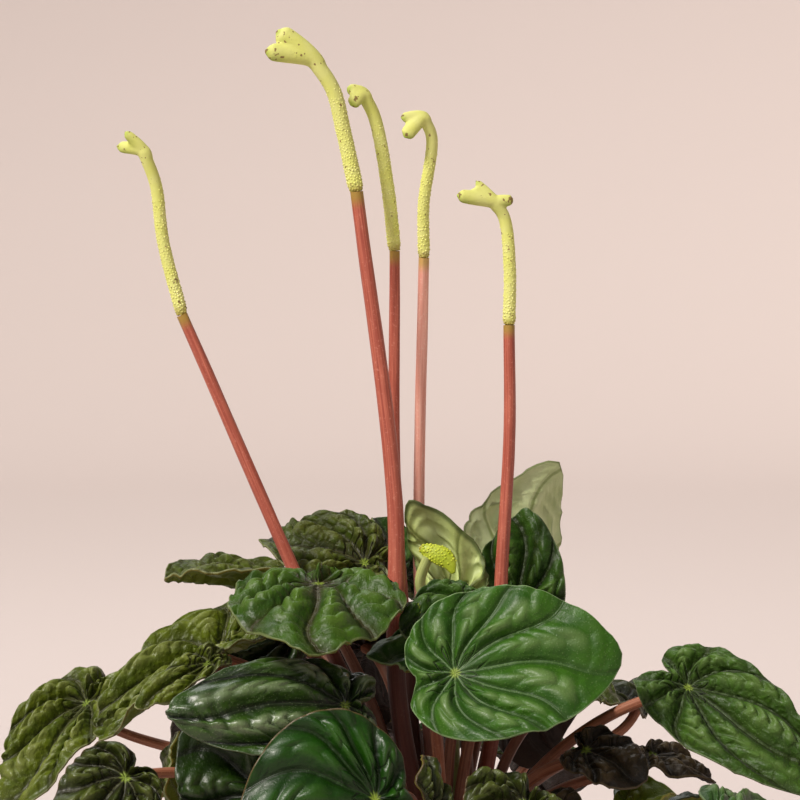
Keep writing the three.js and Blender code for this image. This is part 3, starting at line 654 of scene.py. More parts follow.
def blade_sheet(row, index, start, out):
    """Middle surface, thickness direction and pattern values of a blade at angles start and shares out."""
    at, tip, width, roll, droop, fold, form_name, _ = row
    form = FORMS[form_name]
    forward, side, face, length = blade_axes(at, tip, roll, droop)
    phase = 2.4 * index
    sector = TAU / form["sectors"]
    count = start / sector
    angle = start - BLADE["forward"] * np.sin(start) * out**1.4
    # No two veins run quite alike.
    angle = angle + 0.09 * out * np.sin(3 * start + phase)
    angle = angle + 0.13 * np.sin(5.5 * out + 2 * start + 3 * phase) * out
    turns = np.arange(0, math.pi, 0.02)
    widest = (outline_share(form, turns) * np.sin(turns)).max()
    narrow = width / 2 / (length * widest)
    whole = length * outline_share(form, angle)
    reach = whole * out
    off_middle = np.abs(2 * (count - np.floor(count)) - 1)
    course = reach / form["pitch"] + SIDE_VEIN["lean"] * (off_middle - 1)
    course = course + SIDE_VEIN["set_on"] * np.floor(count)
    for size, round_blade, outward in SIDE_VEIN["waves"]:
        course = course + size * np.sin(round_blade * count + outward * out)
    uneven = 0.72 + 0.28 * np.sin(3.7 * count + 5 * out + phase)
    cushion = uneven * np.abs(np.sin(math.pi * course)) ** 0.6 * (1 - off_middle**4)
    # The margin swells a little where a cushion meets it.
    reach = reach * (1 + form["scallop"] * out**6 * (np.abs(np.sin(TAU * count)) - 0.5))
    along = reach * np.cos(angle)
    across = reach * np.sin(angle) * narrow
    between = np.abs(np.sin(math.pi * count)) ** 1.1
    forked = np.abs(np.sin(TAU * count)) ** 1.1
    fork = BLADE["fork"] * smoothstep(0.5, 1, out)
    rise = smoothstep(0, 0.5, out) * (1 - BLADE["edge_calm"] * smoothstep(0.75, 1, out))
    furrows = DEPTH * form["ripple"] * rise * (between * (1 - fork) + forked * fork)
    quilt = form["quilt"] * cushion * smoothstep(0.2, 0.5, out) * (1 - 0.35 * smoothstep(0.85, 1, out))
    slow = 0.3 * out * np.sin(along / 5.3 + phase) * np.sin(across / 4.6 + 1.7 * phase)
    lift = (
        furrows + quilt - 0.45 * form["quilt"] * smoothstep(0.2, 0.5, out) + slow
        - SINK.get(index, 0.5) * (DEPTH - 1) * form["ripple"] * rise
        + math.tan(math.radians(fold)) * (np.hypot(across, 3) - 3)
        + 1.2 * out**2 * np.sin(3 * start + phase) + 0.7 * out**4 * np.sin(7 * start + 2 * phase)
    )
    bend = math.radians(droop) / length
    turn = bend * along
    normal = np.cos(turn)[..., None] * face + np.sin(turn)[..., None] * forward
    middle = (
        np.array(at, float)
        + (np.sin(turn) / bend)[..., None] * forward
        - ((1 - np.cos(turn)) / bend)[..., None] * face
        + across[..., None] * side
        + lift[..., None] * normal
    )
    relief = np.clip(0.72 * rise * between + 0.28 * cushion * smoothstep(0.2, 0.5, out), 0, 1)
    return middle, normal, along, across, whole, reach, relief


def on_both_skins(hub_value, grid):
    """A number for each point of a blade's upper and lower skin, from the hub's and the grid's."""
    return np.tile(np.r_[hub_value, grid.ravel()], 2)


def blade_piece(index, row):
    """One leaf blade as a thin closed skin with a rounded margin."""
    form = FORMS[row[6]]
    fine = index not in HIDDEN_BEHIND
    # Spokes crowd round each main vein, where the furrow turns sharply.
    offsets = [0, 0.03, 0.07, 0.13, 0.21, 0.31, 0.42] if fine else [0, 0.05, 0.14, 0.28, 0.42]
    offsets = np.array(offsets + [1 - t for t in offsets[:0:-1]])
    counts = (np.arange(form["sectors"])[:, None] + offsets[None, :]).ravel() - form["sectors"] / 2
    spokes = len(counts)
    rows = int(np.clip(np.linalg.norm(np.subtract(row[1], row[0])) / 0.78, 20, 62)) if fine else 18
    outs = np.r_[np.linspace(0, 0.975, rows)[1:] ** 0.9, 0.986, 0.994, 0.999, 1.0]
    start = np.broadcast_to(counts * TAU / form["sectors"], (len(outs), spokes))
    out = np.broadcast_to(outs[:, None], start.shape)
    middle, normal, along, across, whole, reach, relief = blade_sheet(row, index, start, out)
    hub, hub_normal, *_ = blade_sheet(row, index, np.zeros(1), np.zeros(1))
    # Millimetres on the blade for one main vein's worth of turn.
    step = np.diff(np.r_[counts, counts[0] + form["sectors"]])
    gone = np.hypot(np.roll(along, -1, 1) - along, np.roll(across, -1, 1) - across)
    ahead = gone / step
    span = (ahead + np.roll(ahead, 1, 1)) / 2
    inset = whole * (1 - out)
    off_vein = np.abs(counts - np.round(counts))[None, :] * span
    # Skin thickness, rounded off over the last half millimetre, with cords under the main veins.
    plump = np.sqrt(1 - (1 - np.clip(inset / 0.5, 0, 1)) ** 2)
    half = BLADE["thickness"] / 2 * (0.12 + 0.88 * plump)
    cord = 0.5 * np.exp(-((off_vein / 0.6) ** 2)) * smoothstep(0.02, 0.2, out) * (1 - 0.75 * out) * plump
    top = middle + normal * half[..., None]
    under = middle - normal * (half + cord)[..., None]
    points = np.vstack([
        hub + hub_normal * BLADE["thickness"] / 2, top.reshape(-1, 3),
        hub - hub_normal * BLADE["thickness"] / 2, under.reshape(-1, 3),
    ])
    below = 1 + len(outs) * spokes
    turn = np.arange(spokes)
    after = (turn + 1) % spokes
    left, right = counts, counts + step
    faces, corners, finishes = [], [], []
    for base, flip in ((0, False), (below, True)):
        fan = np.stack([np.full(spokes, base), base + 1 + turn, base + 1 + after], 1)
        fan_uv = np.stack([
            np.stack([(left + right) / 2, np.zeros(spokes)], 1),
            np.stack([left, np.full(spokes, outs[0])], 1),
            np.stack([right, np.full(spokes, outs[0])], 1),
        ], 1)
        near = base + 1 + np.arange(len(outs) - 1)[:, None] * spokes
        quads = [near + turn, near + spokes + turn, near + spokes + after, near + after]
        quads = np.stack(quads, -1).reshape(-1, 4)
        inner = np.broadcast_to(outs[:-1, None], (len(outs) - 1, spokes))
        outer = np.broadcast_to(outs[1:, None], inner.shape)
        lefts, rights = np.broadcast_to(left, inner.shape), np.broadcast_to(right, inner.shape)
        quads_uv = np.stack([
            np.stack([lefts, inner], -1), np.stack([lefts, outer], -1),
            np.stack([rights, outer], -1), np.stack([rights, inner], -1),
        ], -2).reshape(-1, 4, 2)
        if flip:
            fan, quads = fan[:, ::-1], quads[:, ::-1]
            fan_uv, quads_uv = fan_uv[:, ::-1], quads_uv[:, ::-1]
        faces += fan.tolist() + quads.tolist()
        corners += [fan_uv.reshape(-1, 2), quads_uv.reshape(-1, 2)]
        finishes += [int(flip)] * (len(fan) + len(quads))
    rim = 1 + (len(outs) - 1) * spokes
    strip = np.stack([rim + turn, below + rim + turn, below + rim + after, rim + after], 1)
    ones = np.ones(spokes)
    strip_uv = np.stack([np.stack([x, ones], 1) for x in (left, left, right, right)], 1)
    faces += strip.tolist()
    corners.append(strip_uv.reshape(-1, 2))
    finishes += [0] * spokes
    name = f"leaf_{index + 1:02d}"
    # Undersides in the dark middle take the wine finish as painted shade.
    under_kind = UNDERSIDE_OF.get(row[7], "green")
    if index in TURNED_AWAY:
        under_kind = TURNED_AWAY[index]
    elif index in SHADED_UNDERSIDES:
        under_kind = "wine"
    piece = new_piece(
        name + "_blade", points, faces,
        [finish_for("face", row[7], form["pitch"]), finish_for("underside", under_kind, form["pitch"])],
        finishes,
        {
            "span": on_both_skins(0, span), "inset": on_both_skins(whole.mean(), inset),
            "reach": on_both_skins(0, reach), "relief": on_both_skins(0, relief),
        },
        np.vstack(corners),
    )
    return finish_piece(piece, "leaf_blade", name)


for number, leaf_row in enumerate(LEAVES):
    blade_piece(number, leaf_row)


# ---------------------------------------------------------------- stalks: rods that follow a path


def stalk_finish(name, light, dark, vein, roughness, waxy, foot, top=None):
    """Fleshy stalk skin: fine lengthwise fibres of two tones under a thin wax; foot is a deeper tone near the
    crown, laid on as painted shade of the plant's dark middle, top the tone that the last few millimetres
    turn to."""
    material, tree = new_material(name)
    known = sources(tree, [("speck", 0.7, 1.0)], ["along"] if top else [])
    course = add(tree, "ShaderNodeAttribute", attribute_name="course").outputs["Vector"]
    # Fibres 0.45 mm wide and about 20 mm long; course is in millimetres.
    fibres = add(tree, "ShaderNodeMapping", {"Vector": course, "Scale": (2.2, 2.2, 0.05)}).outputs[0]
    for pattern, place, scale, detail in (("streak", fibres, 1.0, 3.0), ("blotch", course, 0.12, 2.0)):
        noise = {"Vector": place, "Scale": scale, "Detail": detail}
        known[pattern] = add(tree, "ShaderNodeTexNoise", noise).outputs["Fac"]
    axes = add(tree, "ShaderNodeSeparateXYZ", {0: known["place"]}).outputs
    known |= {axis: axes[axis] for axis in "XYZ"}
    lying = add(tree, "ShaderNodeCombineXYZ", {0: axes["X"], 1: axes["Y"]}).outputs[0]
    known["off axis"] = add(tree, "ShaderNodeVectorMath", {0: lying}, operation="LENGTH").outputs["Value"]
    work_out(tree, known, (
        # Painted shade: the foot colour covers more downwards, towards the axis, to the back and to the left,
        # where the middle of the plant lies in shade.
        ("low", "LINEAR", "Z", 170 * MM, 197 * MM, 0.97, 0.0),
        ("inner", "LINEAR", "off axis", 24 * MM, 60 * MM, 1.0, 0.0),
        ("low", "MULTIPLY", "low", "inner"),
        ("behind", "LINEAR", "Y", -24 * MM, -6 * MM, 0.15, 1.0),
        ("low", "MULTIPLY", "low", "behind"),
        ("left", "LINEAR", "X", -9 * MM, 4 * MM, 1.0, 0.55),
        ("rough", "LINEAR", "streak", 0.3, 0.7, roughness - 0.05, roughness + 0.1),
    ))
    coats = [
        (light, "LINEAR", "streak", 0.36, 0.64),
        (vein, "LINEAR", "speck", 0.6, 0.75, 0.0, 0.5),
        (dark, "LINEAR", "blotch", 0.4, 0.7, 0.0, 0.45),
        # The foot colour is painted shade.
        (foot, "MULTIPLY", "low", "left"),
    ]
    if top:
        coats.append((top, "SMOOTHSTEP", "along", 0.972, 0.996, 0.0, 0.9))
    colour = painted(tree, known, linear(dark), coats)
    gloss = {"IOR": 1.43, "Coat Weight": waxy, "Coat Roughness": 0.35}
    end_material(tree, colour, known["rough"], known["streak"], 0.5, 0.25, gloss)
    return material


# Each foot colour below is painted shade for the dark middle of the plant.
STALK_RED = stalk_finish(
    "red flower stalk, fleshy", "#c8705a", "#a24c3c", "#dc9480", 0.48, 0.06, foot="#240e0a", top="#a88a3c"
)
STALK_PINK = stalk_finish(
    "pink flower stalk, fleshy", "#fcc0ac", "#e49c8a", "#ffdccc", 0.48, 0.06, foot="#7a4034", top="#c8a458"
)
PETIOLE_RED = stalk_finish(
    "red-brown petiole, fleshy", "#b8785a", "#8a523c", "#c69272", 0.46, 0.06, foot="#260f0a"
)
YOUNG_GREEN = stalk_finish(
    "young green stalk, fleshy", "#c6cf86", "#aebb68", "#d6dca4", 0.5, 0.05, foot="#4a3a20"
)


def rod_nodes():
    """Geometry Nodes: sweeps a round section along each path, with a slight swelling where it ends."""
    sizes = dict.fromkeys(("Foot radius", "Top radius", "Swelling", "Step"), "Float")
    inputs = {"Geometry": "Geometry", **sizes, "Sides": "Int", "Material": "Material"}
    tree, given = new_tree("rod along a path", "GeometryNodeTree", inputs, {"Geometry": "Geometry"})
    spaced = {"Curve": given["Geometry"], "Length": given["Step"]}
    path = add(tree, "GeometryNodeResampleCurve", spaced, mode="LENGTH").outputs[0]
    along = add(tree, "GeometryNodeSplineParameter").outputs
    ends = {0: along["Factor"], 2: given["Foot radius"], 3: given["Top radius"]}
    known = {"share": along["Factor"], "Swelling": given["Swelling"]}
    known["radius"] = add(tree, "ShaderNodeMix", ends).outputs[0]
    work_out(tree, known, (
        ("ending", "SMOOTHSTEP", "share", 0.94, 1.0),
        ("radius", "MULTIPLY_ADD", "ending", "Swelling", "radius"),
    ))
    kept = add(tree, "GeometryNodeCaptureAttribute", {"Geometry": path})
    carried = {"length": along["Length"], "radius": known["radius"], "share": along["Factor"]}
    for name in carried:
        kept.capture_items.new("FLOAT", name)
    for place, value in enumerate(carried.values(), 1):
        tree.links.new(value, kept.inputs[place])
    _, length, radius, share = kept.outputs[:4]
    circle = {"Resolution": given["Sides"], "Radius": 1.0}
    circle = add(tree, "GeometryNodeCurvePrimitiveCircle", circle).outputs[0]
    section = add(tree, "GeometryNodeCaptureAttribute", {"Geometry": circle})
    section.capture_items.new("VECTOR", "place")
    tree.links.new(add(tree, "GeometryNodeInputPosition").outputs[0], section.inputs[1])
    geometry = add(tree, "GeometryNodeCurveToMesh", {
        "Curve": kept.outputs[0], "Profile Curve": section.outputs[0], "Scale": radius, "Fill Caps": True,
    }).outputs[0]
    # course: place round the rod and along it, in millimetres, for the fibres.
    lying = {0: section.outputs[1], "Scale": radius}
    lying = add(tree, "ShaderNodeVectorMath", lying, operation="SCALE").outputs[0]
    standing = add(tree, "ShaderNodeCombineXYZ", {"Z": length}).outputs[0]
    course = add(tree, "ShaderNodeVectorMath", {0: lying, 1: standing}, operation="ADD").outputs[0]
    course = add(tree, "ShaderNodeVectorMath", {0: course, "Scale": 1 / MM}, operation="SCALE").outputs[0]
    for name, value, kind in (("course", course, "FLOAT_VECTOR"), ("along", share, "FLOAT")):
        stored = {"Geometry": geometry, "Name": name, "Value": value}
        geometry = add(tree, "GeometryNodeStoreNamedAttribute", stored, data_type=kind).outputs[0]
    # Faint lengthwise ribs and grooves, up to 0.14 mm either way.
    ribs = {0: course, 1: (1.1, 1.1, 0.02)}
    ribs = add(tree, "ShaderNodeVectorMath", ribs, operation="MULTIPLY").outputs[0]
    known["ribs"] = add(tree, "ShaderNodeTexNoise", {"Vector": ribs, "Scale": 1.0}).outputs["Fac"]
    work_out(tree, known, [("proud", "LINEAR", "ribs", 0.3, 0.7, -0.14 * MM, 0.14 * MM)])
    outward = {0: add(tree, "GeometryNodeInputNormal").outputs[0], "Scale": known["proud"]}
    outward = add(tree, "ShaderNodeVectorMath", outward, operation="SCALE").outputs[0]
    geometry = add(tree, "GeometryNodeSetPosition", {"Geometry": geometry, "Offset": outward}).outputs[0]
    end_tree(tree, geometry, given["Material"])
    return tree


ROD = rod_nodes()


def rods(name, lines, foot, top, step, sides, material, swelling=0.0):
    """A piece of one or more rods along lines; sizes are in millimetres."""
    curve = bpy.data.curves.new(name + " paths", "CURVE")
    curve.dimensions = "3D"
    for line in lines:
        spline = curve.splines.new("POLY")
        spline.points.add(len(line) - 1)
        spline.points.foreach_set("co", np.c_[np.asarray(line) * MM, np.ones(len(line))].ravel())
    path = bpy.data.objects.new(name + " paths", curve)
    bpy.context.scene.collection.objects.link(path)
    return with_nodes(
        path, ROD, name, Foot_radius=foot * MM, Top_radius=top * MM, Swelling=swelling * MM, Step=step * MM,
        Sides=sides, Material=material,
    )


def petiole_line(index, row):
    """A petiole's course from the crown up to its blade, leaving steeply and arriving from the stem's
    side."""
    at, tip, _, roll, droop, *_ = row
    forward, _, face, _ = blade_axes(at, tip, roll, droop)
    lean = 0.0 if index in HANGING else math.radians(PETIOLE["lean"])
    arrive = face * math.cos(lean) + forward * math.sin(lean)
    end = np.array(at) - face * (BLADE["thickness"] / 2 + 0.2)
    away = math.atan2(at[1], at[0])
    steep = math.atan2(at[2] - CROWN["top"], math.hypot(at[0], at[1]))
    low, high = CROWN["foot"] + 14, CROWN["top"] - 4
    ring = CROWN["root_ring"]
    start = (ring * math.cos(away), ring * math.sin(away), low + (high - low) * steep / (math.pi / 2))
    start = np.array(start)
    span = np.linalg.norm(end - start)
    outward = PETIOLE["spread"] * math.hypot(at[0], at[1]) / span
    leave = unit(np.array((math.cos(away) * outward, math.sin(away) * outward, 1)))
    a = start + leave * PETIOLE["rise"] * (end[2] - start[2] + PETIOLE["arch"])
    b = end - arrive * span * PETIOLE["settle"]
    t = np.linspace(0, 1, 48)[:, None]
    return (1 - t) ** 3 * start + 3 * (1 - t) ** 2 * t * a + 3 * (1 - t) * t**2 * b + t**3 * end


petioles = rods(
    "petioles", [petiole_line(index, row) for index, row in enumerate(LEAVES)],
    PETIOLE["root"], PETIOLE["tip"], 2.0, 14, PETIOLE_RED, swelling=0.25,
)
finish_piece(petioles, "red_stalk", "crown_and_petioles")

crown_points, crown_faces = lathe([
    (0, 84), (10, 84), (12.4, 87), (13, 90), (12.2, 93), (13, 96), (12, 99.5), (12.2, 102), (10, 106),
    (6, 107.6), (0, 108),
], 40)
turned = np.arctan2(crown_points[:, 1], crown_points[:, 0])
bulge = 1 + 0.05 * np.sin(5 * turned + crown_points[:, 2] / 2.1)
bulge = bulge + 0.03 * np.sin(11 * turned - crown_points[:, 2])
crown_points[:, :2] *= bulge[:, None]
crown = new_piece("crown", crown_points, crown_faces, [PETIOLE_RED])
course = crown.data.attributes.new("course", "FLOAT_VECTOR", "POINT")
course.data.foreach_set("vector", crown_points.astype(np.float32).ravel())
finish_piece(crown, "red_stalk", "crown_and_petioles")

for number, spike in enumerate(SPIKES):
    foot, top, _ = spike["radii"]
    stalk = rods(
        f"flower_stalk_{number + 1:02d}_skin", [catmull_rom(spike["path"], 90)],
        foot, top, 1.6, 28, STALK_PINK if number == 3 else STALK_RED,
    )
    finish_piece(stalk, "red_stalk", f"flower_stalk_{number + 1:02d}")


# ---------------------------------------------------------------- flower spikes


def spike_finish(name, green, shadow, bead, brown, roughness):
    """Crowded tiny flowers on a fleshy yellow-green spike, browning at the crest's edges."""
    material, tree = new_material(name)
    noises = (("mottle", 5, 2.0), ("pits", 0.6, 2.0), ("spots", 1.3, 1.0))
    known = sources(tree, noises, ("along", "crest", "rim", "raised"))
    normal = add(tree, "ShaderNodeNewGeometry").outputs["Normal"]
    known["facing"] = add(tree, "ShaderNodeSeparateXYZ", {0: normal}).outputs["Z"]
    work_out(tree, known, (
        ("underside tone and shade", "LINEAR", "facing", -0.8, 0.1, 0.85, 0.0),
        ("flecks", "MULTIPLY_ADD", "crest", 0.03, "spots"),
        ("flecks", "MULTIPLY_ADD", "rim", 0.09, "flecks"),
        ("rough", "LINEAR", "pits", 0.3, 0.7, roughness - 0.08, roughness + 0.1),
    ))
    colour = painted(tree, known, linear(green), (
        (bead, "LINEAR", "mottle", 0.35, 0.65),
        (shadow, "LINEAR", "raised", 0.0, 0.2, 0.55, 0.0),
        ("#a8963c", "SMOOTHSTEP", "along", 0.0, 0.07, 0.8, 0.0),
        # Where a crest turns down it is greener and darker: partly its own greener tone, partly painted
        # shade. Its ends go brown first.
        ("#98aa34", "MULTIPLY", "underside tone and shade", "crest"),
        ("#a4bf3c", "MULTIPLY", "rim", 0.6),
        (brown, "LINEAR", "flecks", 0.69, 0.735, 0.0, 0.85),
    ))
    end_material(tree, colour, known["rough"], known["pits"], 0.5, 0.2, {"IOR": 1.43})
    return material


SPIKE_GREEN = spike_finish(
    "flower spike, crowded tiny flowers", "#ecec86", "#d4d86e", "#f4f2a4", "#7a5434", 0.6
)
YOUNG_SPIKE_GREEN = spike_finish("young flower comb", "#bccb2c", "#8fa31c", "#d3dc4a", "#8a8a2c", 0.5)


def bead_nodes():
    """Geometry Nodes: strews small raised beads evenly over a skin, each lying on it."""
    sizes = {"Spacing": "Float", "Bead radius": "Float"}
    inputs = {"Geometry": "Geometry", **sizes, "Seed": "Int", "Material": "Material"}
    tree, given = new_tree("beads on a skin", "GeometryNodeTree", inputs, {"Geometry": "Geometry"})
    known = {"Bead radius": given["Bead radius"]}
    for name in ("beaded", "coarse"):
        mark = add(tree, "GeometryNodeInputNamedAttribute", {"Name": name}, data_type="FLOAT")
        known[name] = mark.outputs[0]
    points = add(tree, "GeometryNodeDistributePointsOnFaces", {
        "Mesh": given["Geometry"], "Distance Min": given["Spacing"], "Density Max": 3.0e6,
        "Density Factor": known["beaded"], "Seed": given["Seed"],
    }, distribute_method="POISSON").outputs
    bead = add(tree, "GeometryNodeMeshIcoSphere", {"Radius": 1.0, "Subdivisions": 1}).outputs[0]
    bead = add(tree, "GeometryNodeTransform", {"Geometry": bead, "Scale": (1.0, 1.0, 0.6)}).outputs[0]
    marked = {"Geometry": bead, "Name": "raised", "Value": 1.0}
    bead = add(tree, "GeometryNodeStoreNamedAttribute", marked, data_type="FLOAT").outputs[0]
    between = {2: 0.7, 3: 1.1, "Seed": given["Seed"]}
    known["size"] = add(tree, "FunctionNodeRandomValue", between, data_type="FLOAT").outputs[1]
    work_out(tree, known, (
        ("size", "MULTIPLY_ADD", "coarse", 0.35, "size"),
        ("size", "MULTIPLY", "size", "Bead radius"),
    ))
    beads = add(tree, "GeometryNodeInstanceOnPoints", {
        "Points": points["Points"], "Instance": bead, "Rotation": points["Rotation"], "Scale": known["size"],
    }).outputs[0]
    joined = add(tree, "GeometryNodeJoinGeometry")
    for part in (given["Geometry"], beads):
        tree.links.new(part, joined.inputs[0])
    end_tree(tree, joined.outputs[0], given["Material"])
    return tree


BEADS = bead_nodes()


def one_skin(name, parts, grid):
    """Melts overlapping closed parts into one smooth skin, remade on a fine grid."""
    points, faces = [], []
    for part_points, part_faces in parts:
        base = sum(len(p) for p in points)
        points.append(part_points)
        faces += [[base + i for i in face] for face in part_faces]
    piece = new_piece(name, np.vstack(points), faces, [])
    remesh = piece.modifiers.new("one skin", "REMESH")
    remesh.mode = "VOXEL"
    remesh.voxel_size = grid * MM
    soften = piece.modifiers.new("soften", "SMOOTH")
    soften.factor = 0.5
    soften.iterations = 4
    return applied(piece, name)


def marks_along(piece, line, crest_ends):
    """Gives a skin its share along the spike, its nearness to the crest's ends, where beads grow and how
    proud."""
    co = np.zeros(len(piece.data.vertices) * 3, np.float32)
    piece.data.vertices.foreach_get("co", co)
    co = co.reshape(-1, 3) / MM
    nearest = ((co[:, None, :] - line[None, :, :]) ** 2).sum(-1).argmin(1) / (len(line) - 1)
    close = np.min([np.linalg.norm(co - np.array(end), axis=1) for end in crest_ends], axis=0)
    marks = {
        "along": nearest,
        "crest": 1 - smoothstep(1.5, 9, close),
        "rim": 1 - smoothstep(0.8, 2.2, close),
        "beaded": 1 - smoothstep(0.6, 0.85, nearest),
        "coarse": 1 - smoothstep(0.02, 0.35, nearest),
    }
    for key, numbers in marks.items():
        found = piece.data.attributes.get(key) or piece.data.attributes.new(key, "FLOAT", "POINT")
        found.data.foreach_set("value", numbers.astype(np.float32))


def lobe(before, neck, tip, radius, end, wide):
    """A crest's lobe: from the spike's radius to its own on the way out, ever flatter, to a blunt end."""
    line = catmull_rom([before + (neck - before) * 0.6, neck, tip], 30)
    u = np.linspace(0, 1, 30)
    blunt = np.sqrt(1 - 0.97 * smoothstep(0.86, 1, u))
    across = (0.95 * radius * (1 - u) + 1.15 * end * u) * (1 + 0.2 * np.sin(math.pi * u)) * blunt
    return tube(line, across, across * (1 - 0.5 * u), 20, wide)


def beaded(name, parts, grid, line, ends, spacing, bead, seed, material):
    """A spike's piece: parts melted into one skin and strewn with beads, with the marks that its finish
    reads."""
    skin = one_skin(name + " skin", parts, grid)
    marks_along(skin, line, ends)
    piece = with_nodes(
        skin, BEADS, name, Spacing=spacing * MM, Bead_radius=bead * MM, Seed=seed, Material=material
    )
    marks_along(piece, line, ends)
    return piece


for number, spike in enumerate(SPIKES):
    radius = spike["radii"][2] - 0.12
    head = np.array(spike["head"], float)
    head[0] += unit(head[1] - head[0]) * 0.1
    line = catmull_rom(head, 90)
    thick = radius * (0.84 + 0.16 * smoothstep(0, 0.05, np.linspace(0, 1, 90)))
    parts = [tube(line, thick, thick, 24)]
    first, second, share = spike["web"]
    between = (np.array(spike["crest"][first]) + np.array(spike["crest"][second])) / 2
    between[:3] = head[-1] + (between[:3] - head[-1]) * share
    for x, y, z, end in [*spike["crest"], between]:
        tip = np.array((x, y, z), float)
        wide = unit(np.cross(tip - head[-1], (0, -1, 0)))
        parts.append(lobe(head[-2], head[-1], tip, radius, end, wide))
    tips = [end[:3] for end in spike["crest"]]
    name = f"flower_spike_{number + 1:02d}"
    head_piece = beaded(name + "_beaded", parts, 0.38, line, tips, 0.72, 0.3, 11 + number, SPIKE_GREEN)
    finish_piece(head_piece, "flower_spike", name)

young_line = catmull_rom(YOUNG_SPIKE["comb"], 50)
u = np.linspace(0, 1, 50)
swollen = np.sin(math.pi * (0.12 + 0.8 * u))
tall, deep = YOUNG_SPIKE["comb_radii"]
comb_parts = [tube(young_line, tall * swollen, deep * swollen, 20)]
NO_CREST = [(90, 90, 90)]  # an end so far off that nothing counts as crest
comb = beaded("young_flower_comb", comb_parts, 0.35, young_line, NO_CREST, 0.8, 0.42, 5, YOUNG_SPIKE_GREEN)
finish_piece(comb, "flower_spike", "young_flower_spike")
young_stalk = rods(
    "young_flower_stalk", [catmull_rom(YOUNG_SPIKE["path"], 70)], *YOUNG_SPIKE["radii"], 1.6, 20, YOUNG_GREEN
)
finish_piece(young_stalk, "flower_spike", "young_flower_spike")


# ---------------------------------------------------------------- pot and soil


def stoneware():
    """Wheel-thrown stoneware under a satin off-white glaze: iron specks, faint throwing lines."""
    material, tree = new_material("stoneware, satin off-white glaze")
    known = sources(tree, (("sizes", 9, 2.0), ("cloud", 40, 3.0)))
    spread = {"Vector": known["place"], "Scale": 1 / (3.2 * MM), "Randomness": 1.0}
    known["specks"] = add(tree, "ShaderNodeTexVoronoi", spread).outputs["Distance"]
    rings = add(tree, "ShaderNodeMapping", {"Vector": known["place"], "Scale": (3, 3, 400)}).outputs[0]
    lines = add(tree, "ShaderNodeTexNoise", {"Vector": rings, "Scale": 1.0, "Detail": 1.0}).outputs["Fac"]
    work_out(tree, known, (
        ("dots", "MULTIPLY", "sizes", 0.22),
        ("dots", "SUBTRACT", "dots", "specks"),
        ("rough", "LINEAR", "cloud", 0.3, 0.7, 0.32, 0.46),
    ))
    colour = painted(tree, known, linear("#e6dccb"), (
        ("#d9cdb9", "MULTIPLY", "cloud", 1.0),
        ("#6b5a48", "LINEAR", "dots", 0.0, 0.03, 0.0, 0.75),
    ))
    end_material(tree, colour, known["rough"], lines, 0.35, 0.5, {"IOR": 1.5})
    return material


def potting_mix(name, dark, light):
    """Peat and bark, damp and dull, with paler fibres."""
    material, tree = new_material(name)
    known = sources(tree, [("crumb", 2.5, 5.0)])
    work_out(tree, known, [("rough", "LINEAR", "crumb", 0.3, 0.7, 0.85, 0.97)])
    colour = painted(tree, known, linear(dark), [(light, "LINEAR", "crumb", 0.35, 0.7)])
    end_material(tree, colour, known["rough"], known["crumb"], 0.8, 0.8, {})
    return material


POT_GLAZE = stoneware()
PEAT = potting_mix("potting mix, damp peat", "#1f1610", "#4a3626")
PERLITE = potting_mix("perlite grains", "#b8b0a2", "#e3ddd2")
ROLL = 2  # radius of the pot's rounded edges


def slope(z):
    """The pot's outer radius at a height."""
    return POT["base"] + (POT["rim"] - POT["base"]) * z / POT["height"]


def rolled(radius, height, start):
    """A quarter turn of a rounded edge about a point of the pot's section, from a start in quarter turns."""
    turns = np.linspace(start, start + 1, 6) * math.pi / 2
    return [(radius + ROLL * math.cos(a), height + ROLL * math.sin(a)) for a in turns]


high, rim, base, wall, floor, lip = (POT[k] for k in ("height", "rim", "base", "wall", "floor", "lip"))
band = slope(high - 12) + lip
pot_points, pot_faces = lathe([
    (0, 0), *rolled(base - ROLL, ROLL, -1), (slope(30), 30), (slope(60), 60),
    (slope(high - 14.5), high - 14.5), (slope(high - 14), high - 13.6), (band - 0.4, high - 11.4),
    (band, high - 10.8), *rolled(rim + lip - ROLL, high - ROLL, 0),
    *rolled(rim - wall + ROLL, high - ROLL, 1), (slope(60) - wall, 60),
    (slope(floor + 4) - wall, floor + 4), (slope(floor) - wall - 4, floor), (0, floor),
], 96)
pot = new_piece("pot_glazed", pot_points, pot_faces, [POT_GLAZE])
finish_piece(pot, "glazed_stoneware", "pot")

HEAP = 4  # how much higher the soil is at the crown
inside = slope(SOIL_TOP) - wall - GAP
rings = np.linspace(0.02, 1, 46)
soil_points, soil_faces = lathe([
    (0, floor + GAP), (slope(floor) - wall - 6, floor + GAP), (slope(floor + 5) - wall - 0.8, floor + 5),
    (inside, SOIL_TOP - 0.5),
    *((inside * r, SOIL_TOP + HEAP * (1 - smoothstep(0.35, 1, r))) for r in rings[::-1]),
    (0, SOIL_TOP + HEAP),
], 150)
random = np.random.default_rng(7)
top_side = soil_points[:, 2] > SOIL_TOP - 0.2
x, y = soil_points[:, 0], soil_points[:, 1]
waves = sum(
    np.sin(x * math.cos(a) / w + y * math.sin(a) / w + p) * w * 0.16
    for a, w, p in zip(random.uniform(0, TAU, 14), np.linspace(0.9, 4.5, 14), random.uniform(0, TAU, 14))
)
off_axis = np.hypot(x, y)
calm = 1 - smoothstep(0.97, 1.0, off_axis / inside)
soil_points[:, 2] += np.where(top_side, waves * calm, 0)
strewn = top_side & (off_axis < inside - 1.5) & (off_axis > 8)
soil_base = new_piece("soil base", soil_points, soil_faces, [PEAT], values={"beaded": strewn})


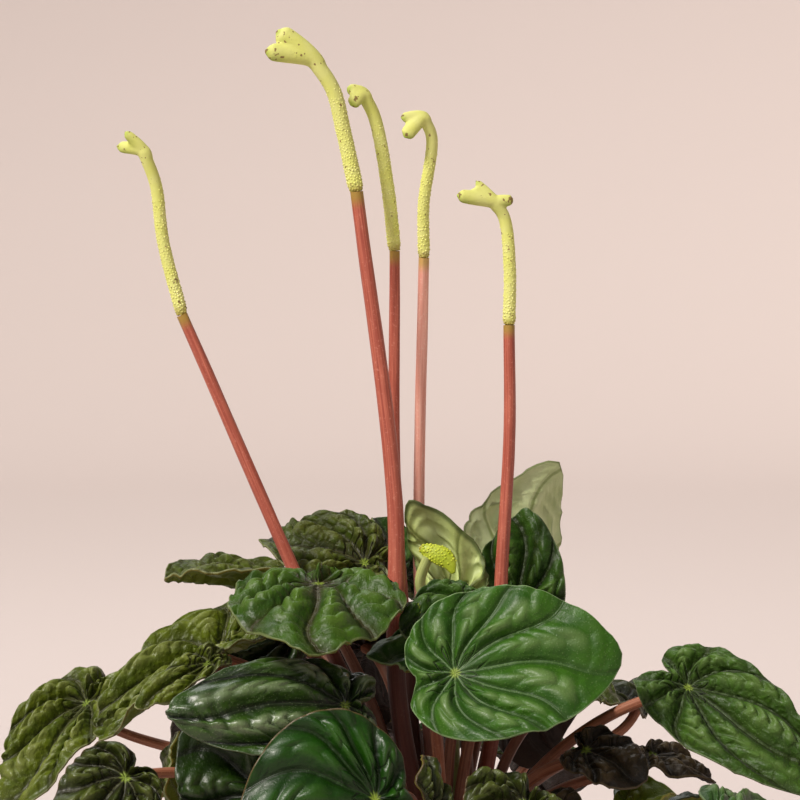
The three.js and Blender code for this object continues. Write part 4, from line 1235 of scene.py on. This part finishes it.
def crumb_nodes():
    """Geometry Nodes: strews crumbs of peat and grains of perlite on the soil."""
    sizes = dict.fromkeys(("Peat spacing", "Peat size", "Perlite spacing", "Perlite size"), "Float")
    inputs = {"Geometry": "Geometry", **sizes, "Seed": "Int", "Peat": "Material", "Perlite": "Material"}
    tree, given = new_tree("crumbs on soil", "GeometryNodeTree", inputs, {"Geometry": "Geometry"})
    where = add(tree, "GeometryNodeInputNamedAttribute", {"Name": "beaded"}, data_type="FLOAT").outputs[0]
    joined = add(tree, "GeometryNodeJoinGeometry")
    tree.links.new(given["Geometry"], joined.inputs[0])
    for kind, squash in (("Peat", 0.6), ("Perlite", 0.85)):
        points = add(tree, "GeometryNodeDistributePointsOnFaces", {
            "Mesh": given["Geometry"], "Distance Min": given[kind + " spacing"], "Density Max": 6.0e5,
            "Density Factor": where, "Seed": given["Seed"],
        }, distribute_method="POISSON").outputs[0]
        lump = add(tree, "GeometryNodeMeshIcoSphere", {"Radius": 1.0, "Subdivisions": 1}).outputs[0]
        dents = add(tree, "ShaderNodeTexNoise", {"Scale": 1.4}).outputs["Color"]
        dents = {0: dents, 1: (0.5, 0.5, 0.5)}
        dents = add(tree, "ShaderNodeVectorMath", dents, operation="SUBTRACT").outputs[0]
        lump = add(tree, "GeometryNodeSetPosition", {"Geometry": lump, "Offset": dents}).outputs[0]
        lump = add(tree, "GeometryNodeTransform", {"Geometry": lump, "Scale": (1.0, 0.8, squash)}).outputs[0]
        lump = add(tree, "GeometryNodeSetMaterial", {"Geometry": lump, "Material": given[kind]}).outputs[0]
        between = {2: 0.4, 3: 1.2, "Seed": given["Seed"]}
        known = {"size": add(tree, "FunctionNodeRandomValue", between, data_type="FLOAT").outputs[1]}
        known["whole"] = given[kind + " size"]
        work_out(tree, known, [("size", "MULTIPLY", "size", "whole")])
        turns = {0: (0.0, 0.0, 0.0), 1: (6.28, 6.28, 6.28)}
        spin = add(tree, "FunctionNodeRandomValue", turns, data_type="FLOAT_VECTOR").outputs[0]
        placed = {"Points": points, "Instance": lump, "Rotation": spin, "Scale": known["size"]}
        tree.links.new(add(tree, "GeometryNodeInstanceOnPoints", placed).outputs[0], joined.inputs[0])
    whole = add(tree, "GeometryNodeRealizeInstances", {"Geometry": joined.outputs[0]})
    add(tree, "NodeGroupOutput", {0: whole.outputs[0]})
    return tree


soil = with_nodes(
    soil_base, crumb_nodes(), "soil_surface", Peat_spacing=2.6 * MM, Peat_size=1.5 * MM,
    Perlite_spacing=8 * MM, Perlite_size=1.2 * MM, Seed=3, Peat=PEAT, Perlite=PERLITE,
)
finish_piece(soil, "potting_soil", "soil")


# ---------------------------------------------------------------- stage, camera and light

paper = bpy.data.materials.new("stage paper")
paper.use_nodes = True
paper_skin = paper.node_tree.nodes["Principled BSDF"]
paper_skin.inputs["Base Color"].default_value = linear("#c6bbb8")
paper_skin.inputs["Roughness"].default_value = 0.9
stage_profile = [(0, -0.5), (2400, -0.5)] + [
    (2400 + 800 * math.sin(a), 799.5 - 800 * math.cos(a)) for a in np.linspace(0.15, math.pi / 2, 10)
] + [(3200, 1700)]
stage_points, stage_faces = lathe([*stage_profile, (0, 1700)], 72)
stage_faces = [face[::-1] for face in stage_faces[:-72]]
stage = new_piece("stage_floor", stage_points[:-1], stage_faces, [paper])

camera_data = bpy.data.cameras.new("camera")
camera_data.sensor_width = 36
camera_data.lens = 165
camera_data.clip_end = 50
camera = bpy.data.objects.new("camera", camera_data)
bpy.context.scene.collection.objects.link(camera)
target = Vector((-12, 0, 249.5)) * MM
pitch = math.radians(4)
distance = 1.1
camera.location = target + Vector((0, -math.cos(pitch), math.sin(pitch))) * distance
camera.rotation_euler = (target - camera.location).to_track_quat("-Z", "Y").to_euler()
bpy.context.scene.camera = camera


def light(name, kind, place, energy, colour, **settings):
    """A lamp that looks at the middle of the plant."""
    data = bpy.data.lights.new(name, kind)
    data.energy = energy
    data.color = linear(colour)[:3]
    for key, value in settings.items():
        setattr(data, key, value)
    lamp = bpy.data.objects.new(name, data)
    bpy.context.scene.collection.objects.link(lamp)
    lamp.location = Vector(place)
    lamp.rotation_euler = (Vector((0, 0, 0.19)) - lamp.location).to_track_quat("-Z", "Y").to_euler()
    return lamp


light("daylight", "SUN", (-1.4, -1.3, 2.1), 3.4, "#fff8f0", angle=math.radians(14))
light("softbox", "AREA", (-0.5, -1.5, 1.1), 5, "#ffffff", shape="RECTANGLE", size=1.2, size_y=1.0)
light("back softbox", "AREA", (-0.5, 1.0, 1.5), 9, "#ffffff", shape="RECTANGLE", size=1.4, size_y=0.8)
wall_wash = light("wall wash", "AREA", (0, 0.6, 1.6), 11, "#fff6ee", shape="RECTANGLE", size=2.5, size_y=0.8)
wall_wash.rotation_euler = (math.radians(62), 0, 0)

world = bpy.data.worlds.new("room light")
bpy.context.scene.world = world
world.use_nodes = True
world.node_tree.nodes["Background"].inputs["Color"].default_value = linear("#f6efea")
world.node_tree.nodes["Background"].inputs["Strength"].default_value = 0.17
bpy.context.scene.view_settings.view_transform = "Standard"
